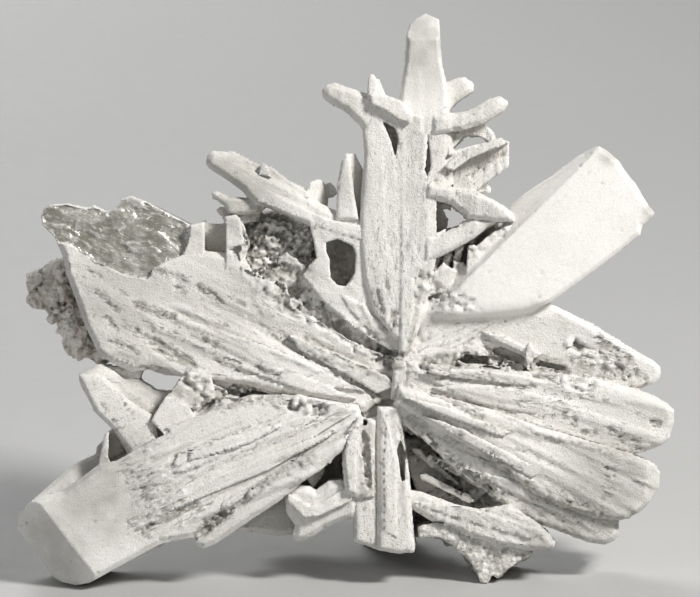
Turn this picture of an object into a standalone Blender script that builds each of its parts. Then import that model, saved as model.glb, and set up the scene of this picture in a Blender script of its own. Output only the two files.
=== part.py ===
"""A cerussite specimen: a six-armed cyclic twin of white blades on a little grey and brown matrix.

The crystals are drawn in the specimen's own face plane, in millimetres: x to the right, z up, and depth
y away from the viewer. The whole specimen then leans back onto its rear foot, and its feet are trimmed
flat at the ground. Every crystal is a flat outline given a thickness, a slope and bevelled edges.
"""

import math
import random

import bmesh
import bpy
from mathutils import Matrix, Vector, noise

MM = 0.001
LEAN = math.radians(12)          # how far the specimen leans back where it rests
GROUND_DEPTH = -6.0              # depth at which the ground meets height 0 of the face plane
CENTRE_X = -0.18                 # across, the middle of the leaning specimen
CENTRE_Y = 9.75                  # in depth, the middle of the leaning specimen
MATRIX_GAP = 0.3                 # clearance between the crystals and the matrix
WELD = 1e-6
RIB_ROOT = 3.5                   # how deep a growth step is rooted in its blade
CUT_FRONT = -16.0                # depth in front of every face, where a cutter starts
CUT_BACK = 12.0                  # depth behind every plate that a hole goes right through
WALL_LEAN = 0.03                 # natural lean of a blade's side walls, per millimetre of depth
WANDER = 0.05                    # natural wander of a blade's corners
FLAT = math.radians(0.5)         # faces closer to one plane than this are one face
SEED = 45

WHITE = (0.80, 0.79, 0.76, 1)
GREY = (0.36, 0.35, 0.33, 1)
BROWN = (0.42, 0.35, 0.28, 1)


nature = random.Random(SEED)


def clear_scene():
    for obj in list(bpy.data.objects):
        bpy.data.objects.remove(obj, do_unlink=True)


def new_collection(name):
    collection = bpy.data.collections.new(name)
    bpy.context.scene.collection.children.link(collection)
    return collection


def material(name, colour, roughness):
    made = bpy.data.materials.new(name)
    made.use_nodes = True
    shader = made.node_tree.nodes["Principled BSDF"]
    shader.inputs["Base Color"].default_value = colour
    shader.inputs["Roughness"].default_value = roughness
    shader.inputs["Metallic"].default_value = 0.0
    return made


def prism_mesh(outline, thickness):
    """A closed prism on a flat outline: depth runs along y, centred on 0."""
    curve = bpy.data.curves.new("outline", "CURVE")
    curve.dimensions = "2D"
    curve.fill_mode = "BOTH"
    curve.extrude = thickness / 2 * MM
    spline = curve.splines.new("POLY")
    spline.points.add(len(outline) - 1)
    for point, (x, z) in zip(spline.points, outline):
        point.co = (x * MM, z * MM, 0, 1)
    spline.use_cyclic_u = True
    guide = bpy.data.objects.new("outline", curve)
    bpy.context.scene.collection.objects.link(guide)
    bpy.context.view_layer.update()
    graph = bpy.context.evaluated_depsgraph_get()
    mesh = bpy.data.meshes.new_from_object(guide.evaluated_get(graph))
    bpy.data.objects.remove(guide)
    bpy.data.curves.remove(curve)
    mesh.transform(Matrix.Rotation(math.radians(90), 4, "X"))
    return mesh


def cut_facets(bm, facets):
    """Cuts plane faces on a closed crystal. A facet is a point on it and its outward normal."""
    for point, normal in facets:
        geometry = bm.verts[:] + bm.edges[:] + bm.faces[:]
        cut = bmesh.ops.bisect_plane(
            bm, geom=geometry, plane_co=Vector(point) * MM, plane_no=Vector(normal), clear_outer=True
        )
        rim = [e for e in cut["geom_cut"] if isinstance(e, bmesh.types.BMEdge)]
        bmesh.ops.holes_fill(bm, edges=rim)


def plate(outline, front, back, slope=(0, 0), bevel=0, facets=(), wander=WANDER, wall_lean=WALL_LEAN):
    """A crystal blade: an outline from depth front to depth back, bevelled round its front face.

    slope is the depth gained per millimetre of x and of z, so that the broad faces tilt.
    """
    outline = [tuple(value + nature.uniform(-wander, wander) for value in corner) for corner in outline]
    lean = nature.uniform(-wall_lean, wall_lean), nature.uniform(-wall_lean, wall_lean)
    mesh = prism_mesh(outline, back - front)
    bm = bmesh.new()
    bm.from_mesh(mesh)
    bmesh.ops.remove_doubles(bm, verts=bm.verts, dist=WELD)
    bmesh.ops.dissolve_limit(bm, angle_limit=math.radians(1), verts=bm.verts, edges=bm.edges)
    bmesh.ops.recalc_face_normals(bm, faces=bm.faces)
    middle = middle_of(outline)
    if bevel:
        rim = [e for e in bm.edges if e.verts[0].co.y < 0 and e.verts[1].co.y < 0]
        bmesh.ops.bevel(
            bm, geom=rim, offset=bevel * MM, segments=1, profile=0.5, affect="EDGES", clamp_overlap=True
        )
    for vert in bm.verts:
        behind = vert.co.y - (front - back) / 2 * MM
        vert.co.x += behind * lean[0]
        vert.co.z += behind * lean[1]
        tilt = slope[0] * (vert.co.x / MM - middle.x) + slope[1] * (vert.co.z / MM - middle.y)
        vert.co.y += (tilt + (front + back) / 2) * MM
    cut_facets(bm, facets)
    bmesh.ops.remove_doubles(bm, verts=bm.verts, dist=WELD)
    bmesh.ops.triangulate(bm, faces=bm.faces)
    bmesh.ops.recalc_face_normals(bm, faces=bm.faces)
    bm.to_mesh(mesh)
    bm.free()
    return mesh


def lamella(start, end, width, end_width=None):
    """The outline of a long narrow crystal between two points, with pointed ends."""
    a, b = Vector(start), Vector(end)
    along = (b - a).normalized()
    across = Vector((-along.y, along.x))
    half, far_half = width / 2, (end_width or width) / 2
    return [
        tuple(p) for p in (
            a - across * half * 0.4,
            a + along * half - across * half,
            b - along * far_half - across * far_half,
            b + across * far_half * 0.3,
            b - along * far_half + across * far_half,
            a + along * half * 1.6 + across * half,
        )
    ]


def strip(start, end, width, front, back, slope=(0, 0), end_width=None):
    """A long narrow crystal, or the slot that one has left."""
    return plate(lamella(start, end, width, end_width), front, back, slope)


def middle_of(outline):
    return Vector((sum(x for x, _ in outline) / len(outline), sum(z for _, z in outline) / len(outline)))


def face_depth(host, where):
    """The depth of a blade's front face at a point of the face plane."""
    outline, front, slope = host
    return front + Vector(slope).dot(Vector(where) - middle_of(outline))


def step_outline(start, end, width):
    """The outline of a long low step, drawn out at its start and broken off slantwise at its end."""
    a, b = Vector(start), Vector(end)
    along = (b - a).normalized()
    across = Vector((-along.y, along.x)) * width / 2
    return [
        tuple(p) for p in (
            a - across * 0.2,
            a + (b - a) * 0.35 - across * 0.8,
            b - across,
            b + along * width * 0.5 + across * 0.7,
            a + (b - a) * 0.4 + across,
        )
    ]


def rib(host, start, end, width, rise, fade=0.0):
    """A growth step: a long low crystal that stands a little proud of its host blade's face.

    fade is the part of its rise that it gains towards its start and loses towards its end.
    """
    outline = step_outline(start, end, width)
    front = face_depth(host, middle_of(outline)) - rise
    length = (Vector(end) - Vector(start)).length
    run_out = (Vector(end) - Vector(start)).normalized() * (2 * fade * rise / length)
    slope = (host[2][0] + run_out.x, host[2][1] + run_out.y)
    return plate(outline, front, front + RIB_ROOT, slope)


def lump(centre, size, seed, grow=0.0, rough=0.28):
    """A rough pebble of matrix: a ball of the given half sizes, pushed in and out by noise."""
    bm = bmesh.new()
    bmesh.ops.create_icosphere(bm, subdivisions=2, radius=1)
    for vert in bm.verts:
        where = vert.co.normalized()
        swell = noise.noise(where * 1.3 + Vector((seed, 0, 0)))
        swell += 0.6 * noise.noise(where * 3.1 + Vector((0, seed, 0)))
        reach = 1 + rough * swell
        vert.co = Vector((where[k] * (size[k] * reach + grow) + centre[k] for k in range(3))) * MM
    mesh = bpy.data.meshes.new("lump")
    bm.to_mesh(mesh)
    bm.free()
    return mesh


def upright_arm():
    """The tall arm: a main blade, a broad blade on its left and a column on its right."""
    spire = [
        (8.6, 78), (9.1, 82.5), (9.7, 86.5), (10.0, 91.3), (10.5, 92.8), (11.4, 93.8), (13.1, 94.8),
        (15.3, 93.7), (15.5, 89), (15.9, 86), (16.5, 83), (16.9, 78), (16.0, 60), (14.0, 50),
        (11.0, 39), (8.6, 37),
    ]
    broad = [
        (2.6, 75), (2.9, 71.5), (2.3, 65), (2.1, 57), (2.8, 50), (4.6, 45), (8.0, 40.5), (11.5, 41),
        (13.1, 55), (13.2, 72), (12.4, 78), (8.8, 79), (4.5, 79.5),
    ]
    column = [
        (13.6, 79), (15.5, 84), (16.8, 81), (17.4, 74), (17.6, 64), (16.2, 58), (14.3, 53.5),
        (12.9, 50.5), (12.6, 60),
    ]
    yield plate(spire, -5.8, 5.5, (0.01, 0.01), 0.5, [((13, -3, 93.5), (0.0, -0.75, 0.66))])
    yield plate(broad, -5.8, 4.5, (-0.01, 0.0), 0.6)
    yield plate(column, -5.1, 5.0, (0.06, 0.0), 0.6)


def arm_branches():
    """The small crystals that grow from both sides of the upright arm."""
    top_left = [
        (-4.05, 82.0), (-3.95, 81.0), (-3.1, 80.2), (-0.2, 78.7), (2.1, 76.3), (3.1, 74.6), (9.5, 74.5),
        (11, 77.5), (8.4, 80.5), (6.2, 81.2), (3.2, 81.5), (-0.4, 82.6), (-2.0, 83.2), (-3.4, 82.9),
    ]
    ledge = [
        (3.8, 81.3), (6.5, 81.0), (8.8, 80.2), (10.8, 77.6), (10.4, 76.5), (8.6, 77.2), (6.2, 78.7),
        (4.2, 79.6),
    ]
    spike = [(3.4, 80.5), (3.6, 84.0), (4.0, 84.6), (4.5, 84.4), (4.95, 83.5), (5.0, 80.8)]
    spike_side = [(4.6, 80.5), (4.8, 83.8), (5.3, 83.8), (6.4, 81.2), (6.2, 80.2)]
    right_top = [
        (14.0, 80.5), (16.3, 83.3), (18.7, 84.1), (19.5, 84.2), (20.8, 83.4), (21.1, 82.9),
        (21.0, 81.9), (18.0, 79.9), (16.6, 78.2), (14.2, 77.5),
    ]
    right_long = [
        (14.0, 78.0), (16.6, 78.1), (19.8, 78.4), (21.5, 79.2), (23.3, 80.2), (25.2, 80.95),
        (26.6, 80.1), (26.6, 79.4), (26.0, 78.5), (22.6, 76.3), (19.5, 75.4), (14.0, 74.5),
    ]
    ragged = [
        (18.6, 76.6), (22.8, 76.4), (24.0, 75.3), (24.8, 73.9), (23.6, 73.5), (21.9, 74.5),
        (20.4, 74.6), (18.5, 74.2),
    ]
    bridge = [
        (15.0, 76.5), (19.0, 76.3), (19.2, 74.2), (17.6, 72.5), (18.4, 71.2), (15.5, 70.0),
        (14.0, 72.0),
    ]
    tray = [
        (15.0, 70.8), (20.0, 72.6), (24.0, 73.6), (25.4, 74.1), (26.9, 73.2), (26.8, 69.4),
        (24.4, 67.6), (23.2, 66.5), (23.9, 65.6), (23.8, 65.0), (21.6, 65.1), (17.0, 64.0),
        (14.5, 66.0),
    ]
    tray_ridge = [
        (16.0, 69.2), (18.5, 71.5), (24.2, 73.5), (25.5, 74.0), (26.9, 73.2), (24.5, 72.3),
        (20.5, 70.6), (17.6, 68.6),
    ]
    tray_lip = [
        (17.5, 66.4), (20.0, 67.6), (24.6, 70.4), (26.8, 71.0), (26.8, 69.4), (24.4, 67.6),
        (21.6, 65.4), (18.2, 65.0),
    ]
    slanting = [
        (13.5, 66.5), (16.5, 66.2), (21.6, 65.1), (24.6, 63.5), (26.2, 62.5), (27.4, 61.6),
        (27.6, 60.6), (27.1, 60.1), (25.0, 60.2), (19.8, 60.7), (17.2, 63.1), (14.6, 63.9),
        (13.0, 64.2),
    ]
    rising = [
        (12.6, 58.2), (14.9, 58.0), (16.6, 58.6), (19.2, 60.2), (20.6, 60.8), (25.2, 60.4),
        (23.0, 59.0), (20.8, 57.2), (18.0, 55.6), (15.2, 54.3), (12.8, 53.2),
    ]
    small_upright = [
        (-1.8, 61), (-1.6, 66.6), (-0.9, 70.3), (-0.2, 71.3), (1.4, 71.5), (1.8, 70.6), (2.4, 69.4),
        (2.8, 61),
    ]
    small_face = [
        (-1.8, 60.5), (-1.7, 64.0), (-1.2, 68.0), (-0.8, 70.3), (-0.2, 71.2), (0.6, 71.2), (0.8, 68.4),
        (1.2, 64.6), (1.8, 60.5),
    ]
    block = [
        (-6.6, 62.5), (-6.5, 65.4), (-6.1, 66.8), (-5.0, 67.1), (-4.2, 67.0), (-3.9, 65.8),
        (-3.6, 62.0),
    ]
    block_side = [
        (-4.4, 62.0), (-4.2, 66.2), (-2.8, 66.6), (-2.0, 65.9), (-1.7, 65.0), (-2.4, 64.4),
        (-3.3, 64.2), (-3.4, 62.0),
    ]
    yield plate(top_left, -6.0, -0.5, (0.10, -0.05), 0.9)
    yield plate(ledge, -6.9, -2.0, (0.05, 0.08))
    yield plate(spike, -6.6, -3.0, (0, 0.05))
    yield plate(spike_side, -4.0, -0.5, (0.3, 0))
    yield plate(right_top, -5.2, 1.0, (0.0, 0.22), 0.8)
    yield plate(right_long, -6.6, -0.6, (-0.05, 0.10), 0.8)
    yield plate(ragged, -3.4, 1.0, (0.1, 0))
    yield plate(bridge, -3.6, 2.0, (0, 0.05))
    yield plate(tray, -3.4, 3.0, (0, 0))
    yield plate(tray_ridge, -6.8, -1.0, (-0.03, 0.12))
    yield plate(tray_lip, -5.2, 0.5, (-0.03, 0.05))
    yield plate(slanting, -7.2, -1.5, (-0.10, -0.08), 0.9)
    yield plate(rising, -6.4, 1.0, (-0.06, 0.10), 0.7)
    yield plate(small_upright, -4.0, 3.5, (0.6, 0))
    yield plate(small_face, -5.4, 0.0, (0, 0.04), 0.4)
    yield plate(block, -3.0, 2.5, (0.55, 0.0))
    yield plate(block_side, -1.0, 3.0, (0.1, 0.0))


def left_branches():
    """The long branch that points to the upper left, and the small crystals under its end."""
    long_branch = [
        (-23.4, 70.4), (-23.2, 69.5), (-22.7, 69.0), (-19.4, 66.9), (-17.3, 65.3), (-16.4, 64.2),
        (-15.2, 62.9), (-13.3, 62.7), (-9.0, 60.9), (-3.0, 58.0), (3.5, 57.0), (3.5, 61.5),
        (-1.0, 61.6), (-4.4, 63.2), (-7.0, 65.0), (-10.0, 66.4), (-13.0, 68.0), (-17.0, 70.0),
        (-19.4, 71.4), (-20.2, 71.8), (-22.2, 71.9), (-23.0, 71.3),
    ]
    branch_back = [
        (-20.4, 71.6), (-19.3, 71.9), (-14.6, 69.6), (-12.6, 69.2), (-9.6, 66.9), (-6.6, 65.2),
        (-6.0, 64.0), (-14, 66),
    ]
    nub = [(-14.6, 68.0), (-14.4, 69.4), (-13.8, 70.0), (-13.2, 69.5), (-12.6, 67.5)]
    tooth = [
        (-22.5, 64.7), (-22.1, 64.1), (-20.5, 62.9), (-19.6, 61.6), (-17.0, 61.4), (-14.5, 61.6),
        (-13.6, 62.9), (-15.6, 64.6), (-16.8, 64.2), (-19.6, 64.4), (-21.4, 65.25), (-22.1, 65.2),
    ]
    tooth_back = [
        (-21.6, 62.1), (-20.8, 61.2), (-20.0, 60.0), (-15.0, 60.2), (-14.0, 62.6), (-19.5, 62.6),
        (-21.2, 62.5),
    ]
    ridge = [
        (-15.0, 63.6), (-13.4, 63.0), (-2.5, 58.6), (4.0, 56.8), (4.0, 58.8), (-3.5, 60.6),
        (-12.0, 64.6),
    ]
    yield plate(long_branch, -5.4, 1.5, (0.06, 0.03), 1.0)
    yield plate(branch_back, -3.4, 2.6, (0, 0.35))
    yield plate(nub, -5.5, -1.0, (0, 0))
    yield plate(tooth, -4.4, 0.8, (0.08, 0), 0.7)
    yield plate(tooth_back, -2.4, 2.0, (0, 0))
    yield plate(ridge, -5.6, -1.6, (0.03, 0.05))


def left_arm():
    """The big upper-left blade, the posts on its upper edge and its growth steps."""
    lower_face = [
        (-50.8, 61.0), (-50.2, 62.4), (-49.3, 62.8), (-46.5, 63.0), (-43.2, 62.3), (-42.0, 62.7),
        (-40.3, 61.8), (-38.9, 61.9), (-37.3, 63.9), (-35.8, 64.2), (-33.5, 63.4), (-30.0, 61.7),
        (-25.8, 59.5), (-24.8, 55.4), (-17.0, 54.6), (-16.2, 50.0), (-15.8, 43.0), (-12.0, 41.0),
        (0.0, 34.6), (6.0, 30.6), (3.0, 28.6), (-10.0, 31.5), (-20.0, 33.8), (-27.0, 34.4),
        (-30.0, 34.6), (-33.0, 35.6), (-35.5, 35.2), (-38.8, 36.6), (-41.0, 37.6), (-43.2, 42.5),
        (-45.3, 48.0), (-46.6, 51.5), (-47.2, 54.6), (-48.6, 57.6), (-50.4, 59.5),
    ]
    upper_face = [
        (-17.6, 53.0), (-17.4, 42.0), (-12.0, 39.6), (4.0, 30.4), (9.5, 31.0), (10.5, 37.0),
        (3.0, 39.2), (-4.6, 43.6), (-9.0, 46.0), (-10.2, 50.0), (-14.6, 51.2),
    ]
    middle_face = [
        (-9.5, 41.4), (-2.0, 38.4), (6.5, 34.6), (8.0, 32.8), (5.0, 31.6), (-1.0, 35.2), (-8.0, 39.0),
    ]
    posts = [
        ([(-26.6, 50.5), (-26.4, 59.6), (-25.4, 59.6), (-23.7, 60.1), (-23.7, 50.5)], -5.1, 2.0),
        ([(-24.5, 52.5), (-24.0, 60.0), (-21.8, 59.8), (-19.8, 60.0), (-19.5, 52.5)], -1.6, 4.0),
        (
            [
                (-20.0, 48.5), (-20.0, 59.4), (-20.3, 60.8), (-18.4, 61.2), (-17.7, 60.6),
                (-17.2, 57.0), (-17.7, 53.5), (-16.4, 51.5), (-16.2, 48.5),
            ],
            -5.2, 1.0,
        ),
        (
            [
                (-18.4, 50.5), (-18.2, 61.2), (-16.9, 59.0), (-16.4, 56.5), (-16.9, 54.0),
                (-15.6, 51.6),
            ],
            -3.4, 3.0,
        ),
    ]
    yield plate(lower_face, -5.6, 6.0, (0.045, 0.03), 0.9)
    yield plate(upper_face, -4.4, 7.0, (0.03, -0.10))
    yield plate(middle_face, -5.3, 2.0, (0.0, -0.06))
    for outline, front, back in posts:
        yield plate(outline, front, back, (0.05, -0.03))
    low, high = (lower_face, -5.6, (0.045, 0.03)), (upper_face, -4.4, (0.03, -0.10))
    for host, start, end, width, rise, fade in (
        (low, (3.0, 31.6), (-27.0, 42.0), 4.2, 0.35, 0.8),
        (low, (2.0, 30.4), (-17.0, 36.4), 2.2, 0.6, 0.5),
        (high, (4.8, 32.2), (-13.0, 41.2), 1.6, 0.45, 0.5),
    ):
        yield rib(host, start, end, width, rise, fade)


def lower_left_arm():
    """The long lower-left blade with its end facet, growth steps and the crystals on its upper side."""
    blade = [
        (-54.5, 11.0), (-54.5, 9.2), (-50.0, 3.3), (-48.3, 1.2), (-47.0, 0.5), (-44.8, 0.0),
        (-42.5, 0.5), (-40.0, 1.9), (-35.0, 4.6), (-30.5, 7.0), (-28.0, 7.5), (-24.5, 8.0),
        (-18.0, 13.0), (-9.0, 18.0), (-1.0, 23.0), (2.6, 27.2), (2.0, 29.6), (-8.0, 31.5),
        (-16.0, 31.5), (-20.0, 30.0), (-25.0, 27.5), (-31.0, 24.5), (-38.0, 20.6), (-41.0, 20.0),
        (-46.8, 15.6), (-50.0, 14.8), (-52.0, 13.9), (-53.8, 12.3),
    ]
    upper_strip = [
        (-53.0, 13.2), (-47.0, 18.5), (-45.0, 20.0), (-41.2, 21.9), (-41.4, 22.7), (-40.0, 24.2),
        (-36.0, 25), (-33, 20), (-45, 13.5),
    ]
    lower_ridge = [
        (-24.9, 7.2), (-24.6, 6.4), (-23.5, 6.0), (-21.5, 6.9), (-18.5, 8.9), (-15.0, 11.4),
        (-11.0, 14.0), (-6.0, 18.0), (-1.2, 22.0), (0.6, 25.2), (-6.0, 22.0), (-14.0, 17.4),
        (-20.0, 12.6),
    ]
    edge_strip = [(-42.0, 0.9), (-36.0, 3.7), (-30.5, 6.5), (-25.0, 9.5), (-25.0, 12.0), (-40.0, 4.5)]
    shelf = [
        (-30.0, 26.0), (-24.6, 21.6), (-6.0, 28.4), (0.5, 29.4), (-6.0, 31.0), (-15.0, 31.0),
        (-20.0, 29.6),
    ]
    yield plate(blade, -10.5, 1.5, (0.05, 0.06), 0.8, [((-46.0, -11.5, 7.3), (-0.56, -0.80, -0.42))])
    yield plate(upper_strip, -5.0, 5.5, (0.02, 0.30), 0.6)
    yield plate(lower_ridge, -10.6, -3.0, (0.02, -0.06), 0.8)
    yield plate(edge_strip, -6.5, 2.5, (0.0, 0.0))
    yield plate(shelf, -8.6, 0.0, (0.02, 0.05))
    host = (blade, -10.5, (0.05, 0.06))
    for start, end, width, rise, fade in (
        ((1.0, 28.0), (-34.0, 14.6), 4.6, 0.4, 0.8),
        ((-1.0, 25.6), (-32.0, 12.2), 2.4, 0.6, 0.8),
        ((-3.0, 28.4), (-27.4, 20.4), 3.4, 0.45, 0.0),
        ((-10.0, 26.6), (-25.4, 21.6), 1.8, 0.8, 0.0),
        ((-2.0, 23.0), (-20.0, 13.0), 1.8, 0.8, 0.6),
    ):
        yield rib(host, start, end, width, rise, fade)


def lower_left_crystals():
    """The stout crystal on the lower-left blade's upper side, with the steps beside it."""
    stout = [
        (-44.4, 35.0), (-44.4, 33.7), (-44.0, 32.6), (-42.3, 29.7), (-42.0, 28.8), (-38.9, 25.8),
        (-36.0, 21.0), (-28.0, 22.0), (-29.5, 27.0), (-31.5, 29.0), (-33.0, 30.8), (-35.4, 32.6),
        (-38.6, 35.4), (-41.0, 36.6),
    ]
    stout_front = [
        (-44.2, 34.8), (-44.2, 33.7), (-42.2, 29.8), (-41.8, 28.9), (-38.6, 25.8), (-35.0, 21.0),
        (-30.5, 21.6), (-32.2, 28.2), (-34.4, 29.4), (-36.6, 31.0), (-40.2, 34.4), (-41.6, 35.0),
    ]
    side = [
        (-41.0, 36.6), (-38.0, 35.9), (-35.0, 34.3), (-32.0, 32.2), (-29.4, 32.0), (-28.6, 29.0),
        (-30.5, 25.0), (-37, 30),
    ]
    steps = [
        (
            [
                (-32.4, 27.2), (-30.0, 31.2), (-28.2, 31.2), (-26.0, 29.2), (-24.0, 26.0),
                (-28.0, 22.5),
            ],
            -8.2, 0.0, (0.15, 0.1),
        ),
        (
            [
                (-30.2, 31.0), (-28.6, 32.8), (-27.4, 34.4), (-24.6, 35.4), (-22.6, 34.8),
                (-22.0, 32.2), (-25.0, 29.0),
            ],
            -6.6, 1.5, (0.0, 0.22),
        ),
        (
            [
                (-26.0, 33.0), (-24.0, 33.9), (-20.0, 32.2), (-19.0, 29.6), (-22.4, 26.4),
                (-25.6, 28.0),
            ],
            -5.0, 2.0, (0.05, 0.0),
        ),
        (
            [
                (-23.8, 28.0), (-20.0, 31.4), (-18.0, 31.0), (-17.0, 28.2), (-22.6, 25.2),
            ],
            -7.9, 0.0, (0.0, 0.05),
        ),
        (
            [
                (-38.0, 35.8), (-37.0, 34.2), (-34.5, 34.2), (-33.5, 36.6), (-36.0, 39.0),
                (-39.5, 38.0),
            ],
            -3.6, 3.0, (0.0, 0.1),
        ),
    ]
    hook = [
        (-41.6, 21.4), (-41.5, 22.8), (-40.0, 24.2), (-39.9, 25.0), (-39.0, 25.7), (-38.2, 25.2),
        (-37.0, 22.0), (-39.4, 20.8),
    ]
    hook_front = [
        (-41.2, 19.4), (-40.6, 22.6), (-40.0, 24.9), (-39.4, 25.3), (-39.6, 21.4), (-39.0, 19.4),
    ]
    yield plate(stout, -6.0, 3.5, (0.10, 0.10), 0.7, [((-43.0, -6.0, 35.6), (-0.5, -0.5, 0.8))])
    yield plate(stout_front, -8.6, -1.0, (0.12, 0.06), 0.6)
    yield plate(side, -3.6, 3.0, (0.35, 0.25))
    for outline, front, back, slope in steps:
        yield plate(outline, front, back, slope)
    yield plate(hook, -5.0, 1.0, (0.1, 0.1))
    yield plate(hook_front, -8.4, -2.0, (0.0, 0.0))


def bottom_stub():
    """The short arm that points down, its side columns and the block on its left."""
    middle = [
        (5.0, 5.8), (8.6, 5.2), (11.0, 5.5), (11.2, 6.4), (10.8, 10.0), (10.3, 18.0), (9.4, 24.0),
        (8.8, 29.5), (5.0, 29.5),
    ]
    left_half = [(1.2, 7.2), (3.8, 6.3), (5.6, 5.7), (5.8, 28.0), (1.6, 27.0), (1.2, 20.0)]
    column = [
        (-0.9, 22.4), (-0.5, 17.0), (0.0, 15.2), (1.4, 14.6), (4.5, 14.6), (4.7, 27.2), (2.2, 27.8),
        (0.2, 25.6),
    ]
    bright_rib = [(-0.4, 22.0), (0.2, 15.6), (1.4, 15.2), (1.6, 26.0), (0.6, 25.0)]
    block = [
        (-10.2, 14.4), (-10.1, 12.0), (-8.6, 9.8), (-9.1, 8.2), (-8.7, 7.3), (-8.1, 7.1), (-6.5, 7.5),
        (-3.5, 9.4), (0.0, 10.8), (1.8, 11.0), (1.8, 15.4), (-1.0, 17.4), (-3.0, 17.2), (-5.2, 15.6),
        (-6.2, 16.3), (-8.6, 16.4), (-9.6, 15.5),
    ]
    block_top = [
        (-9.6, 15.3), (-6.0, 13.0), (-4.6, 13.4), (1.0, 16.8), (0.6, 14.0), (-4.6, 11.6), (-7.0, 11.2),
        (-9.9, 14.0),
    ]
    hole_wall = [(-7.4, 18.6), (-5.6, 16.0), (-3.6, 18.6), (-4.2, 21.0), (-6.4, 20.0)]
    back_blade = [
        (-18.6, 8.8), (-11.0, 7.9), (-8.0, 8.3), (-2.0, 14.0), (0.0, 24.0), (-8.0, 20.0), (-17.0, 12.0),
    ]
    yield plate(middle, -9.2, 4.0, (0.02, 0.05), 0.7)
    yield plate(left_half, -8.2, 3.5, (0.06, 0.05), 0.6)
    yield plate(column, -9.6, 1.0, (0.10, 0.02), 0.6)
    yield plate(bright_rib, -10.4, -4.0, (0.05, 0))
    yield plate(block, -8.6, -0.5, (0.03, -0.12), 0.9, [((-8.6, -9.0, 12.5), (-0.62, -0.75, -0.1))])
    yield plate(block_top, -9.5, -4.0, (0.0, 0.12))
    yield plate(hole_wall, -4.0, 2.0, (0.3, 0.0))
    yield plate(back_blade, 0.5, 8.0, (0.1, 0.1), 0.7)
    yield rib((middle, -9.2, (0.02, 0.05)), (6.9, 27.4), (7.4, 9.0), 2.2, 0.2)


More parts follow.
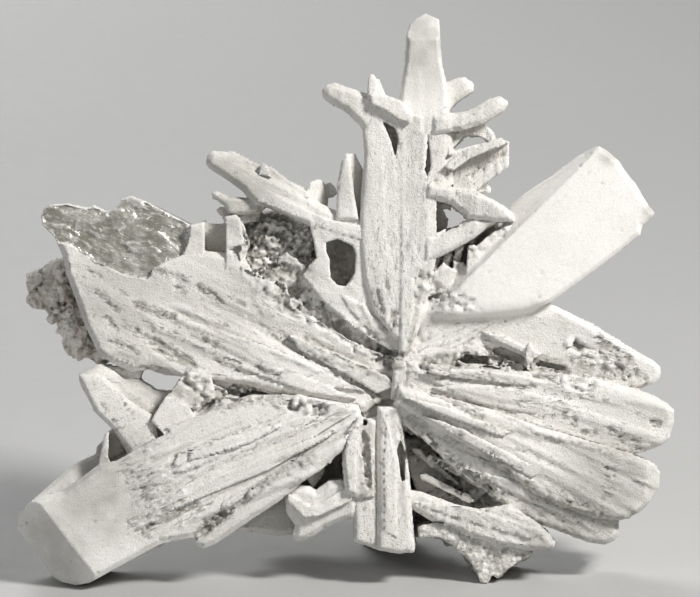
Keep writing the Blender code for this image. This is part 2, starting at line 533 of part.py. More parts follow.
def right_fan():
    """Five blades that spread to the right, each with growth steps along it."""
    first = [
        (33.5, 46.7), (40.0, 43.3), (45.0, 40.2), (51.1, 37.0), (52.1, 36.0), (52.2, 35.0),
        (51.9, 34.0), (51.0, 33.2), (48.8, 32.5), (44.0, 32.0), (36.0, 35.2), (31.0, 36.6),
        (26.0, 38.3), (21.0, 40.2), (12.0, 38.6), (11.0, 45.0), (20.0, 47.0),
    ]
    first_rim = [(33.5, 46.8), (40.4, 43.3), (45.4, 40.2), (51.0, 37.1), (44, 39.6), (34, 45.2)]
    second = [
        (48.5, 32.2), (51.0, 31.2), (53.2, 30.0), (54.2, 28.8), (54.3, 27.0), (53.6, 24.5),
        (52.0, 23.0), (49.5, 22.0), (47.0, 21.5), (40.0, 22.4), (30.0, 25.0), (24.0, 27.4), (9.0, 32.0),
        (10.0, 37.0), (18.0, 36.0), (28.0, 35.4), (35.0, 35.0), (42.0, 33.8),
    ]
    third = [
        (47.0, 21.7), (50.0, 20.4), (51.2, 19.6), (51.7, 18.5), (51.8, 16.0), (50.6, 14.3),
        (49.3, 12.9), (48.0, 11.8), (46.0, 10.9), (44.0, 10.6), (41.0, 11.0), (36.0, 12.8),
        (31.0, 15.2), (26.0, 19.0), (20.0, 23.0), (8.0, 30.0), (8.6, 33.0), (24.0, 29.0), (32.0, 26.0),
        (40.0, 23.6),
    ]
    fourth = [
        (45.2, 10.8), (45.0, 8.3), (44.4, 7.3), (42.8, 6.5), (40.0, 7.0), (35.0, 8.9), (31.0, 10.4),
        (27.0, 12.6), (22.0, 16.0), (17.0, 20.0), (12.0, 24.6), (7.0, 28.0), (8.0, 31.0), (22.0, 25.0),
        (30.0, 19.0), (38.0, 14.0),
    ]
    fifth = [
        (34.5, 7.0), (34.3, 6.2), (33.4, 5.6), (30.0, 5.6), (25.0, 6.6), (20.0, 8.2), (14.0, 10.6),
        (10.0, 13.0), (9.4, 16.0), (13.0, 15.2), (18.0, 13.4), (22.0, 12.6), (27.0, 13.4), (29.5, 11.6),
        (32.0, 10.0), (33.8, 8.2),
    ]
    hidden = [(24.0, 15.4), (30.0, 11.6), (26.0, 9.5), (12.0, 14.0), (9.0, 24.0), (14.0, 24.0)]
    yield plate(first, -3.6, 6.0, (0.02, -0.06), 0.7)
    yield plate(first_rim, -1.8, 4.0, (0, 0.1))
    yield plate(second, -6.0, 4.5, (0.0, -0.07), 0.8)
    yield plate(third, -7.6, 3.0, (0.02, -0.08), 0.8, [((49.5, -7.0, 15.0), (0.65, -0.75, -0.1))])
    yield plate(fourth, -6.0, 3.5, (0.03, -0.10), 0.7)
    yield plate(fifth, -8.0, -2.4, (-0.02, 0.02), 0.8)
    yield plate(hidden, 0.8, 7.0, (0.0, 0.15))
    top = (first, -3.6, (0.02, -0.06))
    broad = (second, -6.0, (0.0, -0.07))
    stepped = (third, -7.6, (0.02, -0.08))
    low = (fourth, -6.0, (0.03, -0.10))
    bottom = (fifth, -8.0, (-0.02, 0.02))
    for host, start, end, width, rise, fade in (
        (stepped, (8.8, 31.4), (26.0, 25.2), 1.4, 1.1, 0.6),
        (broad, (14.0, 33.0), (38.0, 28.8), 3.6, 0.35, 0.8),
        (broad, (12.0, 35.6), (30.0, 33.8), 1.8, 0.7, 0.7),
        (stepped, (12.0, 28.6), (31.0, 18.6), 1.8, 0.5, 0.7),
        (low, (18.0, 20.0), (41.0, 10.6), 2.0, 0.3, 0.7),
        (top, (22.0, 42.2), (31.6, 38.0), 1.3, 0.7, 0.0),
        (bottom, (11.0, 14.0), (31.0, 8.6), 2.4, 0.2, 0.0),
    ):
        yield rib(host, start, end, width, rise, fade)
    for start, end, width, front in (
        ((13.6, 21.2), (25.0, 14.8), 1.1, -2.8),
        ((12.2, 18.2), (21.0, 13.6), 1.0, -3.6),
        ((11.0, 22.4), (18.6, 16.4), 0.8, -1.8),
        ((16.0, 20.9), (27.0, 15.2), 0.8, -4.0),
        ((30.6, 40.0), (30.0, 35.4), 1.4, -5.0),
        ((24.0, 39.6), (28.4, 36.8), 1.0, -3.6),
        ((21.0, 39.0), (22.4, 35.6), 0.9, -4.2),
    ):
        yield strip(start, end, width, front, 5.0)


def upper_right_arm():
    """The broad, smooth upper-right blade with its chipped end."""
    blade = [
        (27.4, 62.4), (30.0, 64.7), (35.0, 68.0), (39.0, 71.0), (41.8, 72.5), (43.0, 71.9),
        (45.0, 70.2), (46.3, 68.2), (47.8, 66.5), (49.0, 64.2), (50.0, 62.8), (50.9, 61.6),
        (50.7, 60.9), (49.0, 59.4), (48.7, 58.0), (45.0, 55.0), (40.0, 51.2), (33.8, 46.8),
        (30.0, 45.0), (20.0, 44.0), (12.0, 44.6), (12.0, 50.0), (15.0, 51.6), (20.0, 53.0),
        (24.0, 57.4), (26.0, 59.4),
    ]
    ledges = [
        ([(13.0, 50.4), (16.0, 53.2), (18.2, 52.0), (17.0, 49.0), (13.0, 47.6)], -5.0),
        (
            [
                (19.8, 51.5), (20.2, 56.2), (21.6, 56.2), (24.6, 58.6), (27.6, 59.6), (30, 58),
                (24.0, 51.0),
            ],
            -5.6,
        ),
        ([(17.6, 50.5), (17.6, 53.6), (19.4, 53.4), (20.6, 50.5)], -4.2),
    ]
    facets = [((33.2, -7.4, 63.9), (-0.62, -0.50, 0.60)), ((31.0, 4.0, 66.0), (-0.6, 0.7, 0.6))]
    yield plate(blade, -7.4, 5.0, (0.0, -0.05), 0.7, facets)
    for outline, front in ledges:
        yield plate(outline, front, 2.0, (0.05, 0.0))


def fan_plate():
    """The thin plate with the six-sided hole, between the pocket and the upright arm."""
    outline = [
        (-6.4, 60.5), (3.0, 59.5), (4.4, 52.0), (8.0, 43.0), (9.6, 38.2), (7.6, 38.6), (3.6, 41.0),
        (0.0, 43.8), (-4.0, 47.0), (-7.4, 51.2), (-6.4, 52.8), (-5.0, 54.0), (-5.4, 56.4),
    ]
    channel = [
        (-16.0, 51.0), (-10.0, 55.0), (-3.0, 50.0), (5.0, 44.0), (10.5, 39.0), (9.0, 35.6), (1.0, 38.0),
        (-8.0, 43.6),
    ]
    yield plate(outline, -4.9, 1.5, (0.02, -0.05))
    yield rib((outline, -4.9, (0.02, -0.05)), (-1.0, 48.4), (6.0, 41.4), 2.4, 0.25)
    yield plate(channel, -3.0, 2.5, (0.08, 0.0))


def core():
    """The heart of the twin, where the arms run together, seen between them and from behind."""
    heart = [(-10, 30), (-6, 44), (2, 50), (12, 52), (20, 46), (22, 34), (15, 28), (8, 25), (0, 24)]
    knot = [(7.2, 30.6), (7.9, 37.6), (9.3, 38.4), (10.6, 35.0), (10.8, 31.4), (9.0, 30.2)]
    yield plate(heart, -2.0, 9.0, (0, 0), 1.0)
    left_web = [(-28.0, 31.0), (-24.0, 36.0), (-10.0, 34.0), (4.0, 34.0), (4.0, 28.0), (-12.0, 28.0)]
    right_web = [(12.0, 33.0), (14.0, 42.0), (24.0, 42.6), (38.0, 37.6), (42.0, 33.0), (30.0, 31.0)]
    root_ramp = [(8.8, 40.8), (16.0, 41.4), (21.8, 41.2), (23.6, 38.0), (22.0, 35.6), (8.8, 34.6)]
    slot_floor = [(20.0, 41.4), (30.0, 38.2), (38.6, 35.6), (38.0, 33.8), (20.0, 35.2)]
    upper_web = [
        (11.0, 46.0), (12.0, 57.6), (15.4, 58.6), (18.0, 59.4), (20.4, 60.4), (25.2, 60.0),
        (27.0, 56.0), (20.0, 46.0),
    ]
    yield plate(knot, -6.0, 0.0, (0.06, -0.05), 0.5)
    yield plate(left_web, -1.6, 5.0, (0.0, 0.05))
    yield plate(right_web, -0.4, 6.0, (0.0, 0.05))
    yield plate(root_ramp, -4.6, 2.0, (0.0, 0.30))
    yield plate(slot_floor, -3.2, 3.0, (0.02, 0.05))
    yield plate(upper_web, 0.4, 7.0, (0.1, 0.0))
    for start, end, width, front in (
        ((13.8, 51.0), (15.2, 55.0), 1.0, -2.2),
        ((15.6, 50.8), (17.2, 55.4), 1.2, -1.6),
        ((17.8, 51.0), (19.0, 57.0), 1.1, -2.4),
        ((20.4, 54.0), (21.2, 58.2), 1.0, -1.4),
        ((-24.0, 34.6), (-16.0, 32.6), 1.8, -3.4),
        ((-17.0, 33.2), (-9.0, 31.6), 1.3, -4.0),
    ):
        yield strip(start, end, width, front, 2.0)


def back_blades():
    """Blades on the rear, which follow the arms in front of them."""
    for outline, front, back, slope in (
        ([(3.6, 42), (3.4, 66), (7.0, 74), (10.4, 70), (12.0, 42)], 2.0, 9.5, (0.0, -0.05)),
        (
            [
                (-42.0, 56.0), (-36, 59.5), (-28.0, 57.0), (2.0, 44.0), (2.0, 32.0), (-34.0, 42.0),
            ],
            3.0, 10.0, (0.05, 0.0),
        ),
        (
            [
                (-46.0, 9.0), (-46.0, 13.0), (-38, 18.0), (0.0, 32.0), (4.0, 26.0), (-36.0, 8.5),
            ],
            -2.0, 7.0, (0.12, 0.0),
        ),
        (
            [
                (12.0, 40.0), (16.0, 48.0), (40.0, 64.0), (43.0, 61.0), (40.0, 55.0), (24.0, 42.0),
            ],
            2.0, 9.5, (-0.05, 0.0),
        ),
        (
            [
                (10.0, 30.0), (14.0, 40.0), (44.0, 31.5), (47.0, 27.0), (43.0, 25.0),
            ],
            1.0, 8.5, (-0.04, 0.05),
        ),
        (
            [
                (8.0, 26.0), (14.0, 31.0), (40.0, 17.5), (43.0, 14.0), (38.0, 13.5), (23.0, 19.5),
            ],
            0.0, 8.0, (-0.06, 0.05),
        ),
        ([(2.4, 10.0), (2.2, 30.0), (9.0, 30.0), (9.8, 10.0), (6.0, 8.4)], 0.0, 8.0, (0.0, 0.08)),
    ):
        yield plate(outline, front, back, slope)
    for start, end, width, front, back, slope in (
        ((6.5, 36.0), (7.0, 62.0), 5.0, 4.0, 19.0, (0.0, -0.25)),
        ((9.0, 36.0), (-22.0, 49.0), 4.2, 4.0, 15.5, (0.10, 0.0)),
        ((9.0, 36.0), (30.0, 50.0), 4.6, 4.0, 15.0, (-0.12, 0.0)),
        ((9.0, 36.0), (32.0, 25.0), 4.4, 4.0, 14.0, (-0.10, 0.0)),
        ((9.0, 36.0), (-20.0, 23.0), 4.2, 4.0, 14.5, (0.08, 0.0)),
    ):
        yield strip(start, end, width, front, back, slope, width * 0.6)


def dug_out():
    """What is missing from the crystals: holes, slots, the glassy break and a few long openings."""
    hexagon = [
        (-2.6, 53.8), (-2.5, 50.8), (-1.2, 49.4), (0.2, 49.3), (1.7, 51.4), (1.8, 54.6), (1.3, 56.0),
        (-1.2, 57.2), (-3.2, 56.6), (-3.2, 55.0),
    ]
    behind_branches = [
        (14.8, 63.5), (17.4, 62.9), (19.4, 61.1), (18.4, 59.0), (16.6, 58.9), (14.8, 58.1),
    ]
    for outline, floor, slope in (
        (hexagon, -0.5, (0.15, 0.1)),
        ([(6.1, 76.6), (8.2, 75.4), (8.6, 73.6), (8.2, 70.4), (7.4, 73.0)], -2.6, (0, 0.1)),
        (
            [
                (13.2, 76.0), (13.7, 72.0), (13.9, 69.0), (13.2, 67.0), (12.7, 68.4), (13.1, 72.0),
            ],
            -2.8, (0, 0),
        ),
        (behind_branches, 0.4, (0, 0)),
        ([(16.4, 62.6), (17.4, 62.8), (19.0, 61.4), (17.4, 60.9)], CUT_BACK, (0, 0)),
        ([(20.2, 73.1), (20.4, 74.0), (21.6, 74.4), (23.0, 73.5), (21.6, 73.0)], CUT_BACK, (0, 0)),
        ([(18.4, 72.8), (19.0, 74.1), (20.4, 73.9), (20.0, 72.8)], -0.5, (0, 0)),
        ([(16.0, 70.4), (16.6, 71.4), (17.8, 71.2), (16.6, 70.6)], -3.6, (0, 0)),
        ([(8.3, 22.5), (8.9, 24.2), (9.9, 22.0), (9.7, 17.5), (9.2, 17.4), (8.9, 19.5)], -3.0, (0, 0)),
        ([(2.4, 27.2), (2.9, 27.6), (3.4, 27.2), (3.2, 26.6), (2.6, 26.6)], -6.0, (0, 0)),
    ):
        yield plate(outline, CUT_FRONT, floor, slope)
    glassy = [
        (-54.0, 58.0), (-54.0, 66.0), (-34.0, 67.0), (-26.0, 61.0), (-26.4, 56.6), (-27.4, 54.6),
        (-30.0, 53.4), (-32.2, 52.4), (-33.2, 50.6), (-36.6, 51.0), (-42.0, 53.8), (-45.2, 56.0),
        (-47.4, 56.4),
    ]
    yield plate(glassy, CUT_FRONT, -4.6, (0.045, 0.10))
    for start, end, width, floor in (
        ((-25.2, 28.2), (-21.8, 30.9), 0.8, -3.6),
        ((31.0, 36.4), (36.0, 35.4), 0.9, -1.6),
        ((24.0, 39.2), (29.4, 37.0), 1.6, -1.4),
        ((18.4, 37.2), (26.0, 36.6), 1.4, -2.0),
        ((3.0, 25.6), (3.6, 16.0), 1.3, -8.6),
    ):
        yield strip(start, end, width, CUT_FRONT, floor)


def crust_lumps(grow=0.0):
    """The brown-grey crust behind the outer end of the upper-left blade."""
    yield lump((-49.2, 4.6, 48.8), (3.4, 4.2, 3.6), 1.0, grow)
    yield lump((-46.4, 5.0, 43.8), (2.7, 4.4, 4.0), 2.4, grow)
    yield lump((-44.2, 4.4, 40.4), (3.4, 4.0, 3.1), 3.7, grow)
    yield lump((-47.6, 4.4, 52.0), (2.5, 3.6, 2.2), 5.2, grow)
    yield lump((-51.6, 4.6, 50.2), (1.9, 2.7, 2.0), 6.6, grow)
    yield lump((-51.4, 3.4, 47.2), (1.8, 2.4, 1.8), 7.3, grow)
    yield lump((-48.6, 3.0, 44.6), (1.5, 2.4, 1.9), 9.4, grow)
    yield lump((-41.0, 4.6, 39.4), (3.0, 3.4, 2.6), 8.1, grow)


def pocket_lumps(grow=0.0):
    """The grey sugary filling of the hollow over the upper-left blade."""
    yield lump((-12.6, 2.6, 57.2), (5.6, 4.4, 4.6), 11.0, grow)
    yield lump((-9.0, 2.0, 52.4), (4.4, 4.0, 4.4), 12.5, grow)
    yield lump((-7.6, 2.4, 57.0), (3.2, 4.0, 3.6), 14.1, grow)
    yield lump((-14.2, 2.4, 52.8), (3.4, 3.4, 2.6), 15.8, grow)


def foot_lumps(grow=0.0):
    """The grey matrix at the lower back, with the spike and the rear foot that carry the specimen."""
    yield lump((2.0, 13.0, 21.0), (15.0, 7.5, 8.6), 21.0, grow, 0.16)
    yield lump((6.6, 20.5, 12.6), (5.6, 8.4, 8.2), 22.2, grow, 0.14)
    yield lump((-9.0, 12.0, 15.4), (7.2, 6.0, 5.4), 23.9, grow, 0.16)
    yield lump((16.4, 5.6, 12.6), (7.4, 6.6, 4.6), 25.3, grow, 0.18)
    yield lump((11.0, 12.0, 14.0), (7.0, 6.0, 5.4), 28.1, grow, 0.16)
    yield lump((23.0, 3.4, 8.0), (6.6, 4.8, 3.6), 26.8, grow, 0.18)
    yield spike(grow)


def spike(grow=0.0):
    """The sharp point under the matrix at the lower right."""
    outline = [
        (11.6, 9.6), (12.0, 7.8), (15.0, 7.9), (17.4, 6.6), (20.2, 4.0), (21.6, 1.8), (22.8, -1.2),
        (24.0, 1.6), (25.2, 1.0), (26.8, 2.6), (31.0, 5.2), (30.0, 6.4), (24.0, 8.6), (15.0, 10.4),
    ]
    middle = middle_of(outline)
    grown = []
    for corner in outline:
        out = (Vector(corner) - middle).normalized() * grow
        grown.append((corner[0] + out.x, corner[1] + out.y))
    return plate(grown, -6.4 - grow, 6.0 + grow, (0.0, -0.1), wander=0, wall_lean=0)


def object_of(name, mesh, collection):
    obj = bpy.data.objects.new(name, mesh)
    collection.objects.link(obj)
    return obj


def fused(name, meshes, work):
    """One mesh from many overlapping ones."""
    made = [object_of(name + "_piece", mesh, work) for mesh in meshes]
    group = new_collection(name + "_pieces")
    for obj in made[1:]:
        work.objects.unlink(obj)
        group.objects.link(obj)
        obj.hide_render = True
    join = made[0].modifiers.new("join", "BOOLEAN")
    join.operation = "UNION"
    join.operand_type = "COLLECTION"
    join.collection = group
    return made[0]


def less(obj, cutter, name):
    cut = obj.modifiers.new(name, "BOOLEAN")
    cut.operation = "DIFFERENCE"
    cut.object = cutter
    cutter.hide_render = True
    cutter.display_type = "WIRE"


def baked(obj):
    """The object with its modifiers applied, as one welded mesh."""
    bpy.context.view_layer.update()
    graph = bpy.context.evaluated_depsgraph_get()
    mesh = bpy.data.meshes.new_from_object(obj.evaluated_get(graph))
    obj.modifiers.clear()
    obj.data = mesh
    return obj


def stand(mesh):
    """Leans the specimen back and puts it over the origin."""
    lift = GROUND_DEPTH * math.sin(LEAN) * MM
    move = Matrix.Translation((-CENTRE_X * MM, -CENTRE_Y * MM, lift))
    mesh.transform(move @ Matrix.Rotation(-LEAN, 4, "X"))


def trim_feet(mesh):
    """Cuts everything off flat at the ground, and joins the pieces of each flat face."""
    bm = bmesh.new()
    bm.from_mesh(mesh)
    cut_facets(bm, [((0, 0, 0), (0, 0, -1))])
    bmesh.ops.dissolve_degenerate(bm, edges=bm.edges, dist=WELD)
    bmesh.ops.dissolve_limit(bm, angle_limit=FLAT, verts=bm.verts, edges=bm.edges)
    bmesh.ops.triangulate(bm, faces=bm.faces)
    bm.to_mesh(mesh)
    bm.free()


def finish(obj, name, collection, work, look):
    """Names the finished node, stands it up, trims its feet and gives it its material."""
    baked(obj)
    work.objects.unlink(obj)
    collection.objects.link(obj)
    obj.name = name
    obj.data.name = name
    stand(obj.data)
    trim_feet(obj.data)
    obj.data.materials.clear()
    obj.data.materials.append(look)


def main():
    clear_scene()
    specimen = new_collection("cerussite_specimen")
    work = new_collection("cutters")
    crystal_makers = (
        core, upright_arm, arm_branches, left_branches, left_arm, lower_left_arm, lower_left_crystals,
        bottom_stub, right_fan, upper_right_arm, fan_plate, back_blades,
    )
    crystals = [mesh for maker in crystal_makers for mesh in maker()]
    twin = baked(fused("twin", crystals, work))
    for name, meshes in (
        ("dug", dug_out()),
        ("crust_room", crust_lumps(MATRIX_GAP)),
        ("pocket_room", pocket_lumps(MATRIX_GAP)),
        ("foot_room", list(foot_lumps(MATRIX_GAP))),
    ):
        less(twin, baked(fused(name, list(meshes), work)), name)
    finish(twin, "cerussite_twin", specimen, work, material("white_cerussite", WHITE, 0.75))
    crust = fused("crust", list(crust_lumps()), work)
    finish(crust, "matrix_crust", specimen, work, material("brown_crust", BROWN, 0.9))
    pocket = fused("pocket", list(pocket_lumps()), work)
    finish(pocket, "matrix_pocket", specimen, work, material("grey_druse", GREY, 0.85))
    foot = fused("foot", list(foot_lumps()), work)
    finish(foot, "matrix_foot", specimen, work, material("grey_matrix", GREY, 0.9))


main()
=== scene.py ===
"""Looks of the cerussite specimen: weathered crystals, a glassy break, sugary hollows and rough matrix.

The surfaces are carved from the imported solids. Places are given in the specimen's own face plane, in
millimetres: x to the right, z up along the plane, y the depth away from the viewer.
"""

import math

import bmesh
import bpy
import numpy as np
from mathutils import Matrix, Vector


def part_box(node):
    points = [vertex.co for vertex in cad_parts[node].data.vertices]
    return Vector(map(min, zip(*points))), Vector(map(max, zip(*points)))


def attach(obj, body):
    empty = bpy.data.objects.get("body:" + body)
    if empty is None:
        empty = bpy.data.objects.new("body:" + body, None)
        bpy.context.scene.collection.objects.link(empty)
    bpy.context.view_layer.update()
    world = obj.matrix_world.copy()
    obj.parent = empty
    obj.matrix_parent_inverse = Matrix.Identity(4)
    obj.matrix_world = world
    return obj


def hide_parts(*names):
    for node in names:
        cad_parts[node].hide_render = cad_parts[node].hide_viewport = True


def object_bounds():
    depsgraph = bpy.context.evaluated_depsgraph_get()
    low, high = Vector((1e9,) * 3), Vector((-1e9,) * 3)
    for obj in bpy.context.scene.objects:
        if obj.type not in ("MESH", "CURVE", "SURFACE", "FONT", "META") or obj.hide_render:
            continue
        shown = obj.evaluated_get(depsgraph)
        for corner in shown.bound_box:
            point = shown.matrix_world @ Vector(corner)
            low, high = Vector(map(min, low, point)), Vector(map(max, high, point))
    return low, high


MM = 0.001
LEAN = math.radians(12)      # how far the specimen leans back
CENTRE_X = -0.18             # across, the middle of the leaning specimen, in mm
CENTRE_Y = 9.75              # in depth, the middle of the leaning specimen
GROUND_DEPTH = -6.0          # the face plane's depth where it meets the ground
STANDING = np.array([-CENTRE_X, -CENTRE_Y, GROUND_DEPTH * math.sin(LEAN)])
TWIN_CENTRE = (9.5, 36.0)
CELL = 0.325                 # resolution of the crystals' surface, in mm
MATRIX_CELL = 0.26           # resolution of the matrix, in mm
OCTREE_DEPTH = 9
WELD = 1e-7                  # corners of a solid that are closer than this, in metres, are one
ARM_OFFSET = 40.0            # keeps the noise of neighbouring arms apart, in mm

# The arms: first and last angle of its sector round the twin's centre, direction of its growth lines, all in
# degrees anticlockwise from the right, and a point that its growth lines run through.
ARMS = {
    "upright": (52, 122, 90, (9.5, 36.0)),
    "left_branch": (122, 141, 155, (0.0, 59.5)),
    "upper_left": (141, 183, 155, (5.0, 31.0)),
    "lower_left": (183, 233, 205, (2.0, 27.0)),
    "stub": (233, 292, 270, (5.0, 28.0)),
    "fan_low": (292, 334, 332, (9.0, 30.0)),
    "fan_high": (334, 382, 346, (9.5, 34.0)),
    "upper_right": (22, 52, 37, (12.0, 46.0)),
}


def to_face_plane(world):
    """World points in mm to the specimen's face plane."""
    cos, sin = math.cos(LEAN), math.sin(LEAN)
    x, y, z = (world - STANDING).T
    return np.column_stack((x, y * cos - z * sin, y * sin + z * cos))


def to_world(face):
    """Points of the face plane to world points in mm."""
    cos, sin = math.cos(LEAN), math.sin(LEAN)
    x, y, z = face.T
    return np.column_stack((x, y * cos + z * sin, z * cos - y * sin)) + STANDING


# Noise

HASH_FACTORS = (374761393, 668265263, 2147482634)
LAYER_SCALE = 2.03           # how much finer each layer of noise is than the one before
LAYER_SHIFT = 17.3           # keeps the layers' lattices apart


def hashed(cells, seed):
    """A repeatable number from 0 to 1 for each lattice cell."""
    h = np.uint32((seed * 974711 + 12345) & 0xFFFFFFFF)
    with np.errstate(over="ignore"):
        for k, factor in enumerate(HASH_FACTORS):
            h = h + cells[:, k].astype(np.int64).astype(np.uint32) * np.uint32(factor)
        h = (h ^ (h >> np.uint32(13))) * np.uint32(1274126177)
        h = (h ^ (h >> np.uint32(16))) * np.uint32(2246822519)
        h = h ^ (h >> np.uint32(15))
    return (h & np.uint32(0xFFFFFF)).astype(np.float64) / 0xFFFFFF


def value_noise(points, seed):
    """Smooth noise from -1 to 1, about one swell per unit of the points' coordinates."""
    base = np.floor(points)
    part = points - base
    part = part * part * part * (part * (part * 6 - 15) + 10)
    total = np.zeros(len(points))
    for corner in range(8):
        step = np.array([corner & 1, corner >> 1 & 1, corner >> 2 & 1])
        weight = np.prod(np.where(step, part, 1 - part), axis=1)
        total += weight * hashed(base + step, seed)
    return total * 2 - 1


def layered_noise(points, seed, layers, gain=0.5):
    """Smooth noise from -1 to 1 with finer and fainter layers on it."""
    total = np.zeros(len(points))
    reach = 0.0
    for layer in range(layers):
        total += gain**layer * value_noise(points * LAYER_SCALE**layer + LAYER_SHIFT * layer, seed + layer)
        reach += gain**layer
    return total / reach


def nearest_cells(points, seed):
    """The distance to the nearest scattered point, the offset from it and its lattice cell."""
    base = np.floor(points)
    nearest = np.full(len(points), np.inf)
    offset = np.zeros_like(points)
    owner = np.zeros_like(points)
    for step in np.ndindex(3, 3, 3):
        cell = base + np.array(step) - 1
        away = points - cell - np.column_stack([hashed(cell, seed + k) for k in range(3)])
        distance = np.sqrt((away**2).sum(axis=1))
        closer = distance < nearest
        nearest[closer] = distance[closer]
        offset[closer] = away[closer]
        owner[closer] = cell[closer]
    return nearest, offset, owner


def cell_noise(points, seed):
    """Distance to the nearest scattered point, and that point's own random number."""
    nearest, _, owner = nearest_cells(points, seed)
    return nearest, hashed(owner, seed + 7)


def chips(points, seed):
    """Heights from about -1 to 1 of a field of broken chips, each with its own tilted flat top."""
    _, offset, owner = nearest_cells(points, seed)
    tilt = np.column_stack([hashed(owner, seed + k) * 2 - 1 for k in (11, 12, 13)])
    return hashed(owner, seed + 7) * 2 - 1 + 1.2 * (offset * tilt).sum(axis=1)


def ramp(values, low, high):
    """0 below low, 1 above high, smooth between."""
    t = np.clip((values - low) / (high - low), 0, 1)
    return t * t * (3 - 2 * t)


def stepped(heights, riser):
    """Heights turned into flat treads, with a riser over a share of each step."""
    return np.floor(heights) + ramp(heights - np.floor(heights), 0.0, riser)


# Surfaces as arrays

class Surface:
    """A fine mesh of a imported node, as arrays in mm in the face plane."""

    def __init__(self, node, cell, crisp=False):
        mesh = remeshed(node, cell, crisp)
        count = len(mesh.vertices)
        flat = np.zeros(count * 3)
        mesh.vertices.foreach_get("co", flat)
        self.points = to_face_plane(flat.reshape(-1, 3) / MM)
        self.edges = np.zeros(len(mesh.edges) * 2, np.int64)
        mesh.edges.foreach_get("vertices", self.edges)
        self.edges = self.edges.reshape(-1, 2)
        corners = np.zeros(len(mesh.loops), np.int64)
        mesh.loops.foreach_get("vertex_index", corners)
        self.quads = corners.reshape(-1, 4)
        self.degree = np.bincount(self.edges.ravel(), minlength=count).clip(1)
        bpy.data.meshes.remove(mesh)
        self.marks = {}

    def averaged(self, values, rounds, weight=0.5):
        """Values smoothed over the surface."""
        a, b = self.edges.T
        count = len(self.points)
        values = np.array(values, dtype=float)
        flat = values.reshape(count, -1)
        for _ in range(rounds):
            for k in range(flat.shape[1]):
                column = flat[:, k]
                near = np.bincount(a, column[b], count) + np.bincount(b, column[a], count)
                flat[:, k] = column + weight * (near / self.degree - column)
        return flat.reshape(values.shape)

    def normals(self):
        """The direction out of the surface at each point."""
        p = self.points[self.quads]
        face = np.cross(p[:, 2] - p[:, 0], p[:, 3] - p[:, 1])
        total = np.zeros_like(self.points)
        for k in range(4):
            for axis in range(3):
                total[:, axis] += np.bincount(self.quads[:, k], face[:, axis], len(self.points))
        return total / np.linalg.norm(total, axis=1, keepdims=True).clip(1e-12)

    def hollowness(self, rounds):
        """How far, in mm, each point lies below its surroundings."""
        around = self.averaged(self.points, rounds)
        return ((around - self.points) * self.normals()).sum(axis=1)

    def push(self, distance):
        """Moves the surface out along its normals by a distance in mm."""
        self.points = self.points + self.normals() * distance[:, None]


def remeshed(node, cell, crisp):
    """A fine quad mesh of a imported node, with crisp or with rounded edges."""
    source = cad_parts[node].data.copy()
    bm = bmesh.new()
    bm.from_mesh(source)
    bmesh.ops.remove_doubles(bm, verts=bm.verts, dist=WELD)
    bm.to_mesh(source)
    bm.free()
    holder = bpy.data.objects.new("holder", source)
    bpy.context.scene.collection.objects.link(holder)
    remesh = holder.modifiers.new("fine", "REMESH")
    if crisp:
        remesh.mode = "SHARP"
        remesh.octree_depth = OCTREE_DEPTH
        remesh.scale = max(holder.dimensions) / MM / (cell * 2**OCTREE_DEPTH)
        remesh.use_remove_disconnected = False
    else:
        remesh.mode = "VOXEL"
        remesh.voxel_size = cell * MM
    graph = bpy.context.evaluated_depsgraph_get()
    made = bpy.data.meshes.new_from_object(holder.evaluated_get(graph))
    bpy.data.objects.remove(holder)
    bpy.data.meshes.remove(source)
    return made


def object_from(name, points, quads, marks, box):
    """A Blender object from face-plane arrays, kept inside a box of the frame."""
    used, renumbered = np.unique(quads, return_inverse=True)
    world = to_world(points[used]) * MM
    world = np.clip(world, np.array(box[0]), np.array(box[1]))
    mesh = bpy.data.meshes.new(name)
    mesh.vertices.add(len(used))
    mesh.vertices.foreach_set("co", world.ravel())
    mesh.loops.add(quads.size)
    mesh.loops.foreach_set("vertex_index", renumbered.ravel().astype(np.int32))
    mesh.polygons.add(len(quads))
    mesh.polygons.foreach_set("loop_start", np.arange(0, quads.size, 4, dtype=np.int32))
    mesh.polygons.foreach_set("use_smooth", np.ones(len(quads), bool))
    mesh.update(calc_edges=True)
    for mark, values in marks.items():
        kind, slot = ("FLOAT", "value") if values.ndim == 1 else ("FLOAT_VECTOR", "vector")
        attribute = mesh.attributes.new(mark, kind, "POINT")
        attribute.data.foreach_set(slot, values[used].ravel().astype(np.float32))
    mesh.validate()
    obj = bpy.data.objects.new(name, mesh)
    bpy.context.scene.collection.objects.link(obj)
    print("piece", name, len(mesh.polygons) * 2, "triangles")
    return obj


# Where things are on the face plane

def inside(points, outline):
    """Which points lie inside an outline of the face plane."""
    x, z = points[:, 0], points[:, 2]
    result = np.zeros(len(points), bool)
    ends = outline[1:] + outline[:1]
    for (x0, z0), (x1, z1) in zip(outline, ends):
        crossing = (z0 > z) != (z1 > z)
        if z0 != z1:
            result ^= crossing & (x < (x1 - x0) * (z - z0) / (z1 - z0) + x0)
    return result


def distance_to_path(points, path):
    """Distance in the face plane to a polyline."""
    where = points[:, [0, 2]]
    nearest = np.full(len(points), np.inf)
    for a, b in zip(path, path[1:]):
        a, b = np.array(a, float), np.array(b, float)
        along = np.clip(((where - a) @ (b - a)) / ((b - a) @ (b - a)), 0, 1)
        nearest = np.minimum(nearest, np.linalg.norm(where - a - along[:, None] * (b - a), axis=1))
    return nearest


def in_outlines(points, places):
    """The greatest strength among the outlines that each point lies in."""
    strongest = np.zeros(len(points))
    for outline, strength in places:
        strongest = np.maximum(strongest, strength * inside(points, outline))
    return strongest


